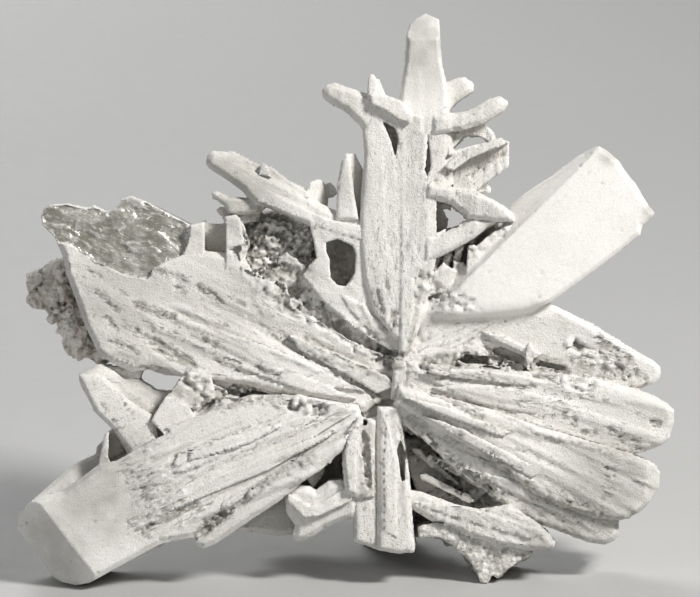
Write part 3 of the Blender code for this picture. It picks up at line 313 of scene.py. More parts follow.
def near_paths(points, paths, width, near, far):
    """The greatest strength among the paths that each point is near.

    A path is at full strength up to near times its half width, and gone at far times that. The half width is
    first scaled by width.
    """
    strongest = np.zeros(len(points))
    for path, half, strength in paths:
        reach = distance_to_path(points, path) / (half * width)
        strongest = np.maximum(strongest, strength * (1 - ramp(reach, near, far)))
    return strongest


def near_spots(points, spots, width, near, far):
    """The greatest strength among the round spots that each point is in, as in near_paths."""
    strongest = np.zeros(len(points))
    for x, z, radius, strength in spots:
        reach = np.hypot(points[:, 0] - x, points[:, 2] - z) / (radius * width)
        strongest = np.maximum(strongest, strength * (1 - ramp(reach, near, far)))
    return strongest


def turned(x, z, degrees):
    """Coordinates along and across a direction of the face plane."""
    cos, sin = math.cos(math.radians(degrees)), math.sin(math.radians(degrees))
    return x * cos + z * sin, z * cos - x * sin


def arm_of(points):
    """The index of each point's arm in ARMS."""
    angle = np.degrees(np.arctan2(points[:, 2] - TWIN_CENTRE[1], points[:, 0] - TWIN_CENTRE[0])) % 360
    index = np.zeros(len(points), int)
    for k, (first, last, _, _) in enumerate(ARMS.values()):
        hit = (angle >= first) & (angle < last) | (angle + 360 >= first) & (angle + 360 < last)
        index[hit] = k
    return index


def growth_frame(points):
    """Each point's distance along its arm's growth lines, across them, and in depth."""
    index = arm_of(points)
    along = np.zeros(len(points))
    across = np.zeros(len(points))
    for k, (_, _, direction, root) in enumerate(ARMS.values()):
        hit = index == k
        along[hit], across[hit] = turned(points[hit, 0] - root[0], points[hit, 2] - root[1], direction)
    return np.column_stack((along, across + index * ARM_OFFSET, points[:, 1]))


GLASSY_BREAK = [
    (-54.0, 61.0), (-50.6, 59.6), (-48.6, 57.6), (-47.2, 56.8), (-45.0, 56.0), (-42.0, 53.5), (-38.0, 51.5),
    (-35.0, 50.7), (-33.2, 50.5), (-32.2, 52.3), (-30.0, 53.5), (-27.2, 54.8), (-26.6, 56.5), (-27.0, 60.5),
    (-30.0, 63.0), (-36.0, 66.0), (-54.0, 66.0),
]

# The broken end of the upper right blade.
BLADE_END = [(38.0, 74.0), (44.0, 74.5), (54.0, 60.0), (52.0, 54.0), (46.0, 57.0)]

# Sugary hollows: a path, its half width in mm, and how strong.
SUGAR = [
    ([(-9.5, 50.5), (-8.5, 46.5), (-5.0, 45.6), (-2.0, 43.0), (0.6, 41.0), (4.0, 39.2), (8.5, 36.8)],
     1.3, 0.9),
    ([(-6.5, 40.6), (0.0, 36.8), (6.5, 34.0)], 0.7, 0.8),
    ([(-12.0, 41.5), (-7.0, 38.3), (-2.5, 35.6), (1.0, 33.6), (5.0, 30.4)], 0.8, 0.8),
    ([(-14.0, 60.0), (-12.0, 56.0), (-9.0, 51.5), (-9.5, 49.0)], 3.2, 1.0),
    ([(-15.8, 50.5), (-15.4, 46.0), (-14.0, 43.2)], 0.7, 0.5),
    ([(3.2, 26.0), (3.4, 20.0), (3.2, 15.8)], 1.2, 0.9),
    ([(9.4, 24.5), (9.6, 18.0)], 0.7, 0.7),
    ([(10.5, 25.5), (14.0, 22.5), (19.0, 18.2), (24.0, 15.0)], 2.6, 1.0),
    ([(15.0, 36.6), (21.0, 37.4), (28.0, 36.6), (35.5, 36.0)], 1.5, 0.8),
    ([(36.0, 36.6), (42.0, 35.4), (49.0, 33.4)], 1.2, 0.7),
    ([(13.0, 51.4), (18.0, 53.4), (22.0, 56.4), (26.0, 59.6)], 1.4, 0.8),
    ([(16.0, 61.0), (18.0, 60.4)], 1.8, 0.6),
    ([(6.8, 76.0), (8.3, 73.0)], 0.9, 0.6),
    ([(-24.5, 8.6), (-18.0, 13.4), (-13.0, 17.4), (-6.0, 21.0)], 1.0, 0.8),
    ([(-33.0, 9.4), (-25.0, 13.6)], 0.8, 0.7),
    ([(-30.0, 33.5), (-24.0, 30.0), (-20.0, 30.6), (-10.0, 31.0)], 1.4, 0.8),
    ([(-41.0, 37.8), (-36.0, 37.4), (-30.0, 35.0)], 1.0, 0.6),
    ([(22.0, 26.6), (30.0, 24.8), (38.0, 23.2), (46.0, 21.6)], 0.6, 0.7),
    ([(24.0, 21.0), (31.0, 16.0), (36.0, 13.4), (42.0, 11.6)], 0.7, 0.8),
    ([(9.0, 31.0), (14.0, 28.0), (22.0, 24.8)], 0.7, 0.8),
    ([(-1.2, 55.0), (-0.6, 51.0)], 1.8, 0.5),
    ([(5.0, 48.7), (5.3, 46.0), (6.2, 42.5)], 0.5, 0.7),
    ([(7.8, 45.4), (7.6, 42.0)], 0.4, 0.7),
    ([(2.0, 46.4), (4.0, 41.6)], 0.5, 0.7),
    ([(12.0, 50.2), (11.4, 45.0), (11.0, 42.0), (9.4, 37.6)], 0.5, 0.7),
]

# Long pits that follow the growth lines: two ends, half width and depth in mm.
STREAKS = [
    ((-41.5, 48.5), (-38.0, 45.5), 0.45, 0.9), ((-35.0, 46.5), (-29.0, 44.3), 0.5, 0.9),
    ((-35.0, 41.9), (-31.5, 39.6), 0.5, 0.8), ((-32.0, 40.2), (-26.0, 36.5), 0.75, 1.1),
    ((-40.0, 44.5), (-38.0, 42.2), 0.4, 0.7), ((-28.2, 49.1), (-26.8, 48.2), 0.4, 0.7),
    ((-24.6, 49.5), (-21.0, 47.0), 0.5, 0.9), ((-19.2, 47.5), (-17.0, 46.3), 0.4, 0.7),
    ((-24.0, 40.6), (-21.8, 39.8), 0.4, 0.8), ((-15.0, 36.1), (-11.4, 34.4), 0.45, 0.8),
    ((-43.0, 52.0), (-40.0, 50.6), 0.35, 0.5), ((-38.6, 49.2), (-36.4, 48.2), 0.35, 0.6),
    ((-33.6, 43.6), (-30.8, 42.4), 0.35, 0.6), ((-37.4, 43.4), (-36.0, 42.6), 0.35, 0.6),
    ((-29.6, 42.0), (-27.6, 41.0), 0.35, 0.5), ((-39.0, 40.6), (-34.6, 38.4), 0.4, 0.8),
    ((-23.4, 44.4), (-19.4, 42.6), 0.3, 0.4), ((-22.0, 37.4), (-18.0, 35.6), 0.4, 0.6),
    ((-33.0, 9.4), (-25.0, 13.4), 0.45, 0.75), ((-28.4, 10.2), (-22.4, 13.4), 0.35, 0.6),
    ((-24.0, 9.2), (-19.6, 12.2), 0.7, 0.8), ((-18.6, 13.2), (-13.4, 16.8), 0.5, 0.55),
    ((-33.0, 14.0), (-22.0, 19.4), 0.3, 0.4), ((-20.0, 20.4), (-13.0, 23.8), 0.3, 0.3),
    ((-26.0, 22.0), (-14.0, 27.2), 0.35, 0.45), ((-31.6, 19.0), (-28.4, 20.6), 0.35, 0.4),
    ((-12.0, 20.0), (-4.6, 23.6), 0.3, 0.35), ((-10.0, 24.6), (-1.0, 28.4), 0.3, 0.35),
    ((5.0, 60.0), (6.4, 55.0), 0.3, 0.3), ((3.8, 55.0), (5.0, 50.0), 0.3, 0.35),
    ((9.6, 56.0), (9.8, 49.0), 0.25, 0.3), ((12.6, 66.0), (12.8, 58.0), 0.25, 0.3),
    ((6.0, 27.6), (6.0, 22.6), 0.3, 0.5), ((2.6, 12.4), (4.6, 12.0), 0.3, 0.4),
    ((39.0, 25.2), (40.6, 25.0), 0.5, 0.8), ((50.8, 26.9), (51.5, 26.7), 0.5, 0.9),
    ((28.0, 30.4), (36.0, 29.2), 0.35, 0.4), ((24.0, 33.0), (31.0, 32.6), 0.4, 0.6),
    ((36.6, 31.6), (43.0, 30.6), 0.35, 0.5), ((28.0, 22.6), (36.0, 19.6), 0.35, 0.3),
    ((33.0, 17.6), (39.0, 15.0), 0.35, 0.3), ((14.0, 31.6), (22.0, 29.6), 0.35, 0.7),
    ((16.0, 34.6), (24.0, 34.2), 0.45, 0.7), ((41.0, 38.6), (45.0, 36.4), 0.4, 0.6),
    ((45.0, 36.6), (49.6, 34.4), 0.5, 0.7), ((22.0, 43.4), (30.0, 42.4), 0.3, 0.3),
    ((17.0, 11.4), (24.0, 9.0), 0.3, 0.3), ((-40.6, 30.0), (-37.0, 25.4), 0.3, 0.5),
    ((-38.0, 31.8), (-35.0, 27.4), 0.3, 0.5), ((20.6, 67.8), (26.0, 71.6), 0.4, 0.6),
    ((42.0, 40.2), (46.6, 37.0), 0.9, 1.0), ((44.3, 25.5), (48.0, 23.2), 1.0, 0.6),
    ((35.0, 29.6), (37.6, 27.0), 0.8, 0.8), ((43.8, 19.6), (43.0, 14.6), 0.9, 0.5),
    ((17.0, 30.6), (22.0, 28.4), 0.8, 0.7), ((17.0, 24.8), (28.0, 18.8), 1.0, 0.5),
    ((30.0, 17.4), (43.0, 11.4), 0.5, 0.5), ((-36.0, 20.0), (-31.0, 13.0), 1.4, 0.4),
    ((-36.0, 10.6), (-33.0, 8.6), 0.7, 0.5), ((-32.0, 52.4), (-27.0, 50.4), 0.6, 0.6),
    ((4.8, 48.6), (5.8, 45.4), 0.6, 0.9), ((6.7, 51.2), (6.8, 49.2), 0.4, 0.8),
    ((7.6, 45.0), (7.6, 43.0), 0.4, 0.9),
]

# Hollows painted dark as shade: an outline, the depth in mm from which it is dark, and how dark.
DARK_HOLLOWS = [
    ([(-4.0, 58.0), (2.4, 57.4), (2.6, 50.0), (-0.4, 48.6), (-3.4, 50.0)], -3.6, 0.9),
    ([(-24.2, 60.5), (-19.8, 60.5), (-19.8, 53.5), (-24.2, 53.5)], -3.2, 0.45),
    ([(14.0, 34.6), (37.0, 34.0), (34.0, 40.6), (16.0, 41.0)], -1.8, 0.6),
    ([(-8.0, 20.0), (-2.0, 20.0), (-2.0, 13.0), (-8.0, 15.0)], -5.0, 0.5),
    ([(-38.6, 34.6), (-35.0, 34.3), (-29.4, 31.6), (-30.0, 28.0), (-33.7, 26.2), (-36.0, 29.6)],
     -7.4, 0.35),
]

# Hollows with pale walls, where the painted shade and the sugar are made fainter: an outline and how pale.
PALE_HOLLOWS = [
    ([(12.0, 49.0), (26.0, 50.0), (31.0, 61.0), (20.0, 62.0), (12.6, 64.0)], 0.7),
    ([(9.5, 26.0), (16.0, 24.0), (28.0, 16.0), (29.0, 10.5), (10.5, 14.0)], 0.85),
    ([(-14.0, 50.0), (-6.0, 50.0), (8.0, 40.0), (4.0, 36.0), (-6.0, 42.0)], 0.45),
]

# Places greyed as painted shade, where less light falls: middle, radius in mm and strength.
PAINTED_SHADE_PLACES = [
    (-40.0, 17.0, 12.0, 1.0), (-17.0, 67.0, 10.0, 1.0), (43.0, 17.0, 11.0, 1.0), (35.5, 10.5, 8.0, 1.0),
    (-20.0, 46.0, 9.0, 0.3), (-39.0, 47.0, 9.0, 0.7), (12.5, 90.0, 9.0, 1.0), (-1.0, 80.5, 5.0, 0.5),
    (0.5, 66.0, 4.0, 0.5), (43.6, 71.4, 2.4, 1.0), (47.6, 67.4, 1.3, 0.8), (50.4, 62.0, 2.0, 0.9),
    (-48.0, 7.0, 8.0, 0.7),
]

# Rubble of little crystals: a path, its half width in mm, and how strong.
RUBBLE = [
    ([(-16.0, 55.5), (-13.0, 51.6), (-9.0, 48.0)], 3.2, 1.0),
    ([(-9.0, 48.0), (-5.6, 45.6), (-1.6, 42.8), (3.0, 40.0), (7.6, 37.4)], 2.0, 1.0),
    ([(-26.5, 34.0), (-23.0, 32.4), (-20.0, 30.8)], 1.3, 1.0),
    ([(-19.0, 32.4), (-12.0, 30.8), (-4.0, 28.8)], 1.1, 1.0),
    ([(12.0, 23.0), (18.0, 18.0), (23.0, 14.6)], 2.4, 1.0),
    ([(13.0, 36.4), (20.0, 37.6), (30.0, 35.6), (40.0, 33.0)], 1.2, 1.0),
    ([(12.6, 50.4), (15.6, 47.6), (20.0, 46.6)], 1.4, 1.0),
    ([(37.0, 40.0), (42.0, 37.6), (46.0, 34.6)], 1.0, 1.0),
]

# Ridged places, where growth steps stand out: an outline and their height in mm.
RIDGED_PLACES = [
    ([(-35, 8), (-8, 16), (4, 25), (3, 31), (-12, 31), (-32, 22)], 0.30),
    ([(-34, 45), (-32, 35), (-2, 30), (6, 35), (-12, 49)], 0.20),
    ([(11, 22), (46, 6), (55, 22), (55, 33), (12, 37)], 0.16),
]

# Places where one crystal melts into the next: an outline and how much.
MELTED_PLACES = [
    ([(-22.0, 52.6), (-16.6, 52.6), (-16.0, 45.4), (-22.0, 45.4)], 1.0),
    ([(10.5, 43.0), (24.0, 42.4), (31.0, 43.8), (31.5, 47.0), (22.0, 46.8), (12.0, 47.6)], 1.0),
]

# Worn places: an outline, how scaly and how pitted it is.
WORN_PLACES = [
    ([(-37, 22), (-34, 9), (-27, 8), (-23, 13), (-26, 24), (-31, 27)], 1.4, 0.12),
    ([(3, 60), (13, 60), (12.5, 48), (8.5, 40), (4.5, 46)], 0.5, 0.20),
    ([(3, 76), (14, 78), (14, 60), (3, 60)], 0.3, 0.03),
    ([(38, 41), (46, 38), (47, 33), (37, 35)], 1.0, 0.45),
    ([(24, 33), (36, 34), (40, 28), (34, 25), (24, 28)], 0.5, 0.25),
    ([(9, 44), (20, 43), (26, 39), (24, 33), (10, 31)], 0.9, 0.20),
    ([(20, 21), (34, 14), (44, 8), (40, 6), (20, 15)], 0.6, 0.30),
    ([(-16, 50), (-6, 46), (4, 38), (-4, 36), (-16, 42)], 0.8, 0.20),
    ([(15, 77), (27, 75), (27, 64), (15, 63)], 0.8, 0.20),
    ([(-44, 36), (-30, 36), (-30, 22), (-44, 26)], 0.3, 0.10),
    ([(-2, 27), (12, 27), (12, 5), (0, 5)], 0.4, 0.15),
    ([(9, 16), (34, 14), (35, 5), (9, 8)], 0.7, 0.15),
]

# Smooth, little weathered places: an outline and how smooth.
SMOOTH_PLACES = [
    ([(18.0, 44.0), (34.0, 45.0), (52.0, 60.0), (43.0, 74.0), (24.0, 60.0)], 1.0),
    ([(9.0, 78.0), (9.5, 96.0), (17.0, 96.0), (17.0, 78.0)], 0.8),
    ([(-56.0, 8.0), (-46.0, -1.0), (-34.0, 5.0), (-38.0, 22.0), (-50.0, 20.0)], 0.55),
]

# Patches on the matrix: middle, radius in mm and strength.
RUST = [(-46.4, 46.6, 1.8, 1.0), (-44.0, 41.4, 2.0, 1.0), (-48.8, 50.6, 1.1, 1.0), (-43.0, 38.8, 1.2, 1.0)]
CREAM = [(-40.6, 39.0, 4.4, 1.0), (-43.6, 38.0, 4.2, 1.0), (-37.0, 37.6, 3.6, 1.0)]


# Carving the crystals

# Sizes of the forms along the growth lines, across them and in depth, in mm.
LINE_SIZE = (14.0, 0.8, 1.0)
TERRACE_SIZE = (34.0, 3.2, 9.0)
TREAD_SIZE = (30.0, 1.9, 5.0)
SCALE_SIZE = (2.6, 0.9, 0.9)
TORN_SIZE = (1.0, 0.42, 0.45)
SHELL_SIZE = (9.0, 3.0, 4.0)
FLAKE_SIZE = (4.2, 1.7, 2.0)
SMALL_PIT_SIZE = 1.35
SUGAR_SIZE = 0.9
BLOCK_SIZE = 1.9
CHIP_SIZE = 0.8

# Heights of the forms, in mm.
SWELL_HEIGHT = 0.05
LINE_HEIGHT = 0.025
TERRACE_HEIGHT = 0.08
CORNER_FILL = 0.3
GRAIN_HEIGHT = 0.025
SCALE_HEIGHT = 0.14
RIDGE_HEIGHT_BEHIND = 0.2
PIT_DEPTH = 0.08
RUINED_DEPTH = 0.34
SMALL_PIT_DEPTH = 0.25
SUGAR_HEIGHT = 0.22
SUGAR_DEPTH = 0.12
BLOCK_HEIGHT = 0.62
CHIP_HEIGHT = 0.22
RUBBLE_DEPTH = 0.3
SHELL_HEIGHT = 0.4
FLAKE_HEIGHT = 0.2
BREAK_DEPTH = 0.45

GLASS_FACING = -0.35         # the break covers only what faces the viewer by more than this
FLAW_DIRECTION = -20         # of the flaws in the glassy break, in degrees
MELT_ROUNDS = 70


class TwinSkin(Surface):
    """The twin's surface, with what its weathering depends on at each point."""

    def __init__(self):
        super().__init__("cerussite_twin", CELL, crisp=True)
        self.melt()
        self.plain = self.points.copy()
        self.grown = growth_frame(self.plain)
        away = self.normals()[:, 1]
        self.facing = ramp(-away, 0.2, 0.7)
        self.behind = ramp(away, 0.2, 0.7)
        self.broad = ramp(np.abs(away), 0.2, 0.7)
        self.open = ramp(-away, -0.4, 0.3)
        self.hollow = self.hollowness(30)
        self.ragged = layered_noise(self.plain / 2.2, 31, 3)
        self.smooth = self.averaged(in_outlines(self.plain, SMOOTH_PLACES), 12)
        self.weather = 1 - 0.75 * self.smooth
        frayed = self.plain + 1.1 * layered_noise(self.plain / 2.0, 29, 3)[:, None]
        self.glass = self.averaged(inside(frayed, GLASSY_BREAK) & (away < GLASS_FACING), 3)

    def melt(self):
        """Softens the places where one crystal melts into the next."""
        melted = self.averaged(in_outlines(self.points, MELTED_PLACES), 20)[:, None]
        self.points = self.points + melted * (self.averaged(self.points, MELT_ROUNDS) - self.points)


def sugary(skin):
    """How sugary each point is: along the paths, and in every sharp inner corner."""
    sugar = near_paths(skin.plain, SUGAR, 1 + 0.5 * skin.ragged, 0.6, 1.25) * skin.open
    return np.maximum(sugar, 0.8 * ramp(skin.hollow, 0.5, 1.3)) * (1 - skin.glass)


def growth_relief(skin, sugar):
    """Heights of the swells, growth lines, terraces, filled corners and grain."""
    swell = layered_noise(skin.plain / 8.0, 9, 2)
    lines = value_noise(skin.grown / LINE_SIZE, 3)
    terrace = stepped(layered_noise(skin.grown / TERRACE_SIZE, 13, 2) * 4, 0.12)
    grain = layered_noise(skin.plain / 0.7, 17, 2)
    relief = SWELL_HEIGHT * swell + LINE_HEIGHT * lines * skin.weather
    relief += TERRACE_HEIGHT * terrace * skin.broad * skin.weather
    relief += CORNER_FILL * ramp(skin.hollow, 0.15, 0.9) * (0.6 + 0.4 * skin.ragged)
    return relief + GRAIN_HEIGHT * grain * (1 + 2 * sugar)


def wear(skin):
    """How scaly and how pitted the worn places in front are, and how worn the back is."""
    strayed = skin.plain + 2.5 * layered_noise(skin.plain / 4.0, 45, 3)[:, None]
    scaly = in_outlines(strayed, [(outline, amount) for outline, amount, _ in WORN_PLACES])
    scaly = skin.averaged(scaly, 30)
    pitted = in_outlines(strayed, [(outline, amount) for outline, _, amount in WORN_PLACES])
    pitted = skin.averaged(pitted, 30)
    worn_behind = ramp(layered_noise(skin.plain / 6.0, 43, 2), -0.1, 0.5) * skin.behind
    return scaly, pitted, worn_behind


def ridges(skin):
    """Heights of the growth steps that stand out."""
    height = skin.averaged(in_outlines(skin.plain, RIDGED_PLACES), 12) * skin.facing
    height += RIDGE_HEIGHT_BEHIND * skin.behind
    return height * stepped(layered_noise(skin.grown / TREAD_SIZE, 91, 2) * 3, 0.2)


def long_pits(skin, pitted, worn_behind):
    """How ruined each point is, and whether a long pit is torn into it."""
    streaks = [((start, end), half, depth) for start, end, half, depth in STREAKS]
    ruined = np.maximum(near_paths(skin.plain, streaks, 1.7, 0.2, 1.4), pitted) * skin.facing
    wider = 0.20 * ramp(layered_noise(skin.plain / 8.0, 41, 2), 0.1, 0.6) * skin.weather
    ruined = np.maximum(ruined, wider * skin.broad)
    ruined = np.maximum(ruined, 0.3 * worn_behind)
    torn = layered_noise(skin.grown / TORN_SIZE, 37, 3)
    pit = ramp(torn, 0.52 - 0.75 * ruined, 0.66 - 0.75 * ruined) * ramp(ruined, 0.05, 0.3)
    return ruined, pit


def small_pits(skin):
    """Whether each point lies in a small round pit."""
    distance, token = cell_noise(skin.plain / SMALL_PIT_SIZE, 47)
    return (1 - ramp(distance, 0.08, 0.26)) * ramp(token, 0.80, 0.90) * (0.5 + 0.5 * skin.weather)


def rubble_blocks(skin):
    """Where the rubble lies, and the heights of its blocks from about -1 to 1."""
    rubble = near_paths(skin.plain, RUBBLE, 1 + 0.4 * skin.ragged, 0.6, 1.2)
    rubble *= skin.facing * (1 - skin.glass)
    return rubble, chips(skin.plain / BLOCK_SIZE + 0.15 * skin.ragged[:, None], 63)


def glass_relief(skin):
    """Heights of the shell-like break, and the coordinates that its flaws run along."""
    flaws = np.column_stack((*turned(skin.plain[:, 0], skin.plain[:, 2], FLAW_DIRECTION), skin.plain[:, 1]))
    flaws += 0.8 * layered_noise(skin.plain / 5.0, 57, 2)[:, None]
    shell = 1 - np.abs(value_noise(flaws / SHELL_SIZE, 59))
    flake = chips(flaws / FLAKE_SIZE, 97)
    return SHELL_HEIGHT * shell + FLAKE_HEIGHT * flake - BREAK_DEPTH, flaws


def painted_hollow_shade(skin, rubble, blocks):
    """How dark each point is painted as shade in the deep hollows and between the rubble's blocks."""
    dark = np.zeros(len(skin.plain))
    for outline, depth, strength in DARK_HOLLOWS:
        deep = ramp(skin.plain[:, 1], depth, depth + 2.5)
        dark = np.maximum(dark, strength * inside(skin.plain, outline) * deep)
    return np.maximum(skin.averaged(dark, 3), 0.75 * rubble * ramp(-blocks, 0.0, 0.7))


def grey_wear_and_shade(skin, worn_behind):
    """How grey each point is: painted shade in places and on the broken end's side faces, and grey wear
    where the back is worn.
    """
    grey = near_spots(skin.plain, PAINTED_SHADE_PLACES, 1.0, 0.3, 1.2)
    grey = np.maximum(grey, 0.9 * inside(skin.plain, BLADE_END) * (1 - skin.facing))
    grey = np.maximum(grey, 0.4 * worn_behind)
    return grey * (0.8 + 0.5 * layered_noise(skin.plain / 3.0, 67, 3))


def carve_crystals():
    """The twin's surface, weathered, with the marks that its materials read."""
    skin = TwinSkin()
    whole = 1 - skin.glass
    sugar = sugary(skin)
    scaly, pitted, worn_behind = wear(skin)
    ruined, long_pit = long_pits(skin, pitted, worn_behind)
    small_pit = small_pits(skin)
    rubble, blocks = rubble_blocks(skin)
    glass_height, flaws = glass_relief(skin)
    pale = in_outlines(skin.plain, PALE_HOLLOWS)

    push = growth_relief(skin, sugar)
    scaly = scaly * skin.facing + 0.8 * worn_behind
    push += SCALE_HEIGHT * scaly * chips(skin.grown / SCALE_SIZE, 83)
    push += ridges(skin)
    push -= long_pit * (PIT_DEPTH + RUINED_DEPTH * ruined) * whole
    push -= SMALL_PIT_DEPTH * small_pit * whole
    push += sugar * (SUGAR_HEIGHT * chips(skin.plain / SUGAR_SIZE, 53) - SUGAR_DEPTH)
    chipped = CHIP_HEIGHT * chips(skin.plain / CHIP_SIZE, 73)
    push += rubble * (BLOCK_HEIGHT * blocks + chipped - RUBBLE_DEPTH)
    push = push * (1 - 0.9 * skin.glass) + skin.glass * glass_height
    skin.push(push)

    cut = skin.hollowness(6)
    # Painted shade: the hollow mark darkens inner corners and creases, less in the pale hollows.
    corner = ramp(skin.hollow, 0.1, 1.2) * 0.8 * (1 - pale)
    skin.marks = {
        "sugar": sugar * (1 - 0.8 * pale),
        "glass": skin.glass,
        "pits": np.clip(long_pit * (0.35 + 0.5 * ruined) + small_pit * 0.8, 0, 1) * whole,
        "ruined": np.clip(ruined, 0, 1),
        # Painted shade in the deep hollows and between the rubble's blocks.
        "shade": painted_hollow_shade(skin, rubble, blocks) * (1 - 0.7 * pale),
        # Grey: partly painted shade, partly wear on the back.
        "grey": np.clip(grey_wear_and_shade(skin, worn_behind), 0, 1),
        "growth": np.where(skin.glass[:, None] > 0.5, flaws, skin.grown),
        "hollow": np.clip(corner + ramp(cut, 0.03, 0.2) * 0.5, 0, 1),
        # Painted highlight: the edge mark lightens sharp outer edges.
        "edge": ramp(-cut, 0.03, 0.16),
        "smooth": skin.smooth,
    }
    return skin


# Carving the matrix

def between(pair, amount):
    """From the first value of a pair, where amount is 0, to the second, where it is 1."""
    return pair[0] + (pair[1] - pair[0]) * amount


def carve_matrix(node, seed, size, lump, fine):
    """Rough matrix with lumps of a size in mm.

    lump and fine are pairs of heights in mm, in front and behind, of the lumps and of what is on them.
    """
    skin = Surface(node, MATRIX_CELL)
    skin.points = skin.averaged(skin.points, 2)
    plain = skin.points.copy()
    bent = plain / size + 0.3 * layered_noise(plain / (0.7 * size), seed, 2)[:, None]
    distance, token = cell_noise(bent, seed + 1)
    lumps = np.sqrt(np.clip(1 - distance**2, 0, 1)) * (0.6 + 0.4 * token)
    crumbs = chips(plain / CHIP_SIZE, seed + 3)
    distance, pore_token = cell_noise(plain / 1.7, seed + 5)
    pores = (1 - ramp(distance, 0.12, 0.38)) * ramp(pore_token, 0.5, 0.8)
    behind = ramp(plain[:, 1], -1.0, 4.0)
    lump, fine = between(lump, behind), between(fine, behind)
    bulk = layered_noise(plain / 4.5, seed + 15, 2)
    skin.push(lump * (lumps - 0.6 + 0.8 * bulk) + 0.45 * fine * crumbs - 1.2 * fine * pores)

    cut, corner = skin.hollowness(8), skin.hollowness(40)
    tint = 0.5 + 0.7 * layered_noise(plain / 4.0, seed + 9, 3) + 0.5 * (token - 0.5)
    edge = 1 + 0.6 * layered_noise(plain / 1.5, 71, 2)
    skin.marks = {
        # Painted shade in the hollows and crevices.
        "hollow": np.clip(ramp(cut, 0.02, 0.3) + 0.6 * ramp(corner, 0.1, 0.9), 0, 1),
        # Painted highlight on the lumps' edges.
        "edge": ramp(-cut, 0.05, 0.3),
        "tint": np.clip(tint, 0, 1),
        "crumb": np.clip(0.5 + 0.5 * crumbs, 0, 1),
        "rust": near_spots(plain, RUST, edge, 0.4, 1.2),
        "cream": near_spots(plain, CREAM, edge, 0.4, 1.2),
    }
    return skin


# Materials

CRYSTAL_INDEX = 1.55         # lower than cerussite's own, because its faces are chalky
GLASS_INDEX = 1.9
CHALK = (0.88, 0.865, 0.835)
DULL_CHALK = (0.79, 0.772, 0.735)
GREY_WEAR_AND_SHADE = (0.37, 0.36, 0.335)
BLOTCH = (0.62, 0.60, 0.555)
FILM = (0.50, 0.485, 0.45)
POWDER = (0.48, 0.465, 0.425)
DIRT = (0.29, 0.275, 0.235)
DASH = (0.27, 0.255, 0.215)
PEPPER = (0.22, 0.21, 0.175)
CORNER_SHADE = (0.24, 0.222, 0.18)
PIT = (0.17, 0.16, 0.13)
DEEP_SHADE = (0.10, 0.094, 0.072)
RIM_HIGHLIGHT = (0.92, 0.915, 0.89)
GLASS_DARK = (0.25, 0.245, 0.205)
GLASS_LIGHT = (0.47, 0.455, 0.415)
GLASS_STREAK = (0.78, 0.77, 0.73)
GLASS_FLAW = (0.17, 0.165, 0.135)
GLASS_HAIR = (0.88, 0.87, 0.84)
GLASS_GLINT = (1.0, 1.0, 0.98)
GLASS_EDGE_HIGHLIGHT = (0.92, 0.91, 0.88)
RUST_BROWN = (0.26, 0.125, 0.055)
CREAM_CRUST = (0.92, 0.88, 0.79)
FLOOR_DARK = (0.42, 0.42, 0.415)
FLOOR_LIGHT = (0.44, 0.44, 0.435)


class Nodes:
    """Short calls for the nodes of one material."""

    def __init__(self, name):
        self.material = bpy.data.materials.new(name)
        self.material.use_nodes = True
        self.tree = self.material.node_tree
        self.shader = self.tree.nodes["Principled BSDF"]
        self.where = self.tree.nodes.new("ShaderNodeTexCoord").outputs["Object"]

    def link(self, source, target):
        self.tree.links.new(source, target)

    def add(self, kind, values=(), inputs=()):
        """A node with its own values set and its inputs linked or filled in."""
        node = self.tree.nodes.new(kind)
        for key, value in dict(values).items():
            setattr(node, key, value)
        for key, value in dict(inputs).items():
            if isinstance(value, bpy.types.NodeSocket):
                self.link(value, node.inputs[key])
            else:
                node.inputs[key].default_value = value
        return node

    def mark(self, name):
        """What the carving wrote under a name."""
        return self.add("ShaderNodeAttribute", {"attribute_name": name}).outputs["Fac"]

    def noise(self, per_metre, detail=4, roughness=0.55):
        inputs = {"Vector": self.where, "Scale": per_metre, "Detail": detail, "Roughness": roughness}
        return self.add("ShaderNodeTexNoise", {}, inputs).outputs["Fac"]

    def lengthwise(self, along, across):
        """Noise drawn out along the growth lines, with so many swells per mm along and across them."""
        where = self.add("ShaderNodeAttribute", {"attribute_name": "growth"}).outputs["Vector"]
        inputs = {0: where, 1: (along, across, across)}
        spread = self.add("ShaderNodeVectorMath", {"operation": "MULTIPLY"}, inputs)
        inputs = {"Vector": spread.outputs[0], "Scale": 1.0, "Detail": 3, "Roughness": 0.6}
        return self.add("ShaderNodeTexNoise", {}, inputs).outputs["Fac"]

    def cells(self, per_metre, output="Distance"):
        inputs = {"Vector": self.where, "Scale": per_metre}
        return self.add("ShaderNodeTexVoronoi", {}, inputs).outputs[output]

    def fit(self, value, low, high, out_low=0.0, out_high=1.0):
        """A value from low to high mapped from out_low to out_high, and clamped."""
        inputs = {"Value": value, "From Min": low, "From Max": high, "To Min": out_low, "To Max": out_high}
        return self.add("ShaderNodeMapRange", {"clamp": True}, inputs).outputs["Result"]

    def sum(self, a, b):
        return self.add("ShaderNodeMath", {"operation": "ADD"}, {0: a, 1: b}).outputs[0]

    def times(self, a, b):
        return self.add("ShaderNodeMath", {"operation": "MULTIPLY"}, {0: a, 1: b}).outputs[0]

    def mix(self, amount, a, b):
        """Colour a, turned to colour b by an amount."""
        node = self.add("ShaderNodeMix", {"data_type": "RGBA"})
        for socket, value in ((node.inputs[0], amount), (node.inputs[6], a), (node.inputs[7], b)):
            if isinstance(value, bpy.types.NodeSocket):
                self.link(value, socket)
            elif isinstance(value, tuple):
                socket.default_value = (*value, 1.0)
            else:
                socket.default_value = value
        return node.outputs[2]

    def bump(self, height, strength, distance):
        inputs = {"Height": height, "Strength": strength, "Distance": distance}
        return self.add("ShaderNodeBump", {}, inputs).outputs["Normal"]

    def paint(self, colour, roughness, normal):
        self.link(colour, self.shader.inputs["Base Color"])
        self.link(roughness, self.shader.inputs["Roughness"])
        self.link(normal, self.shader.inputs["Normal"])
        return self.material


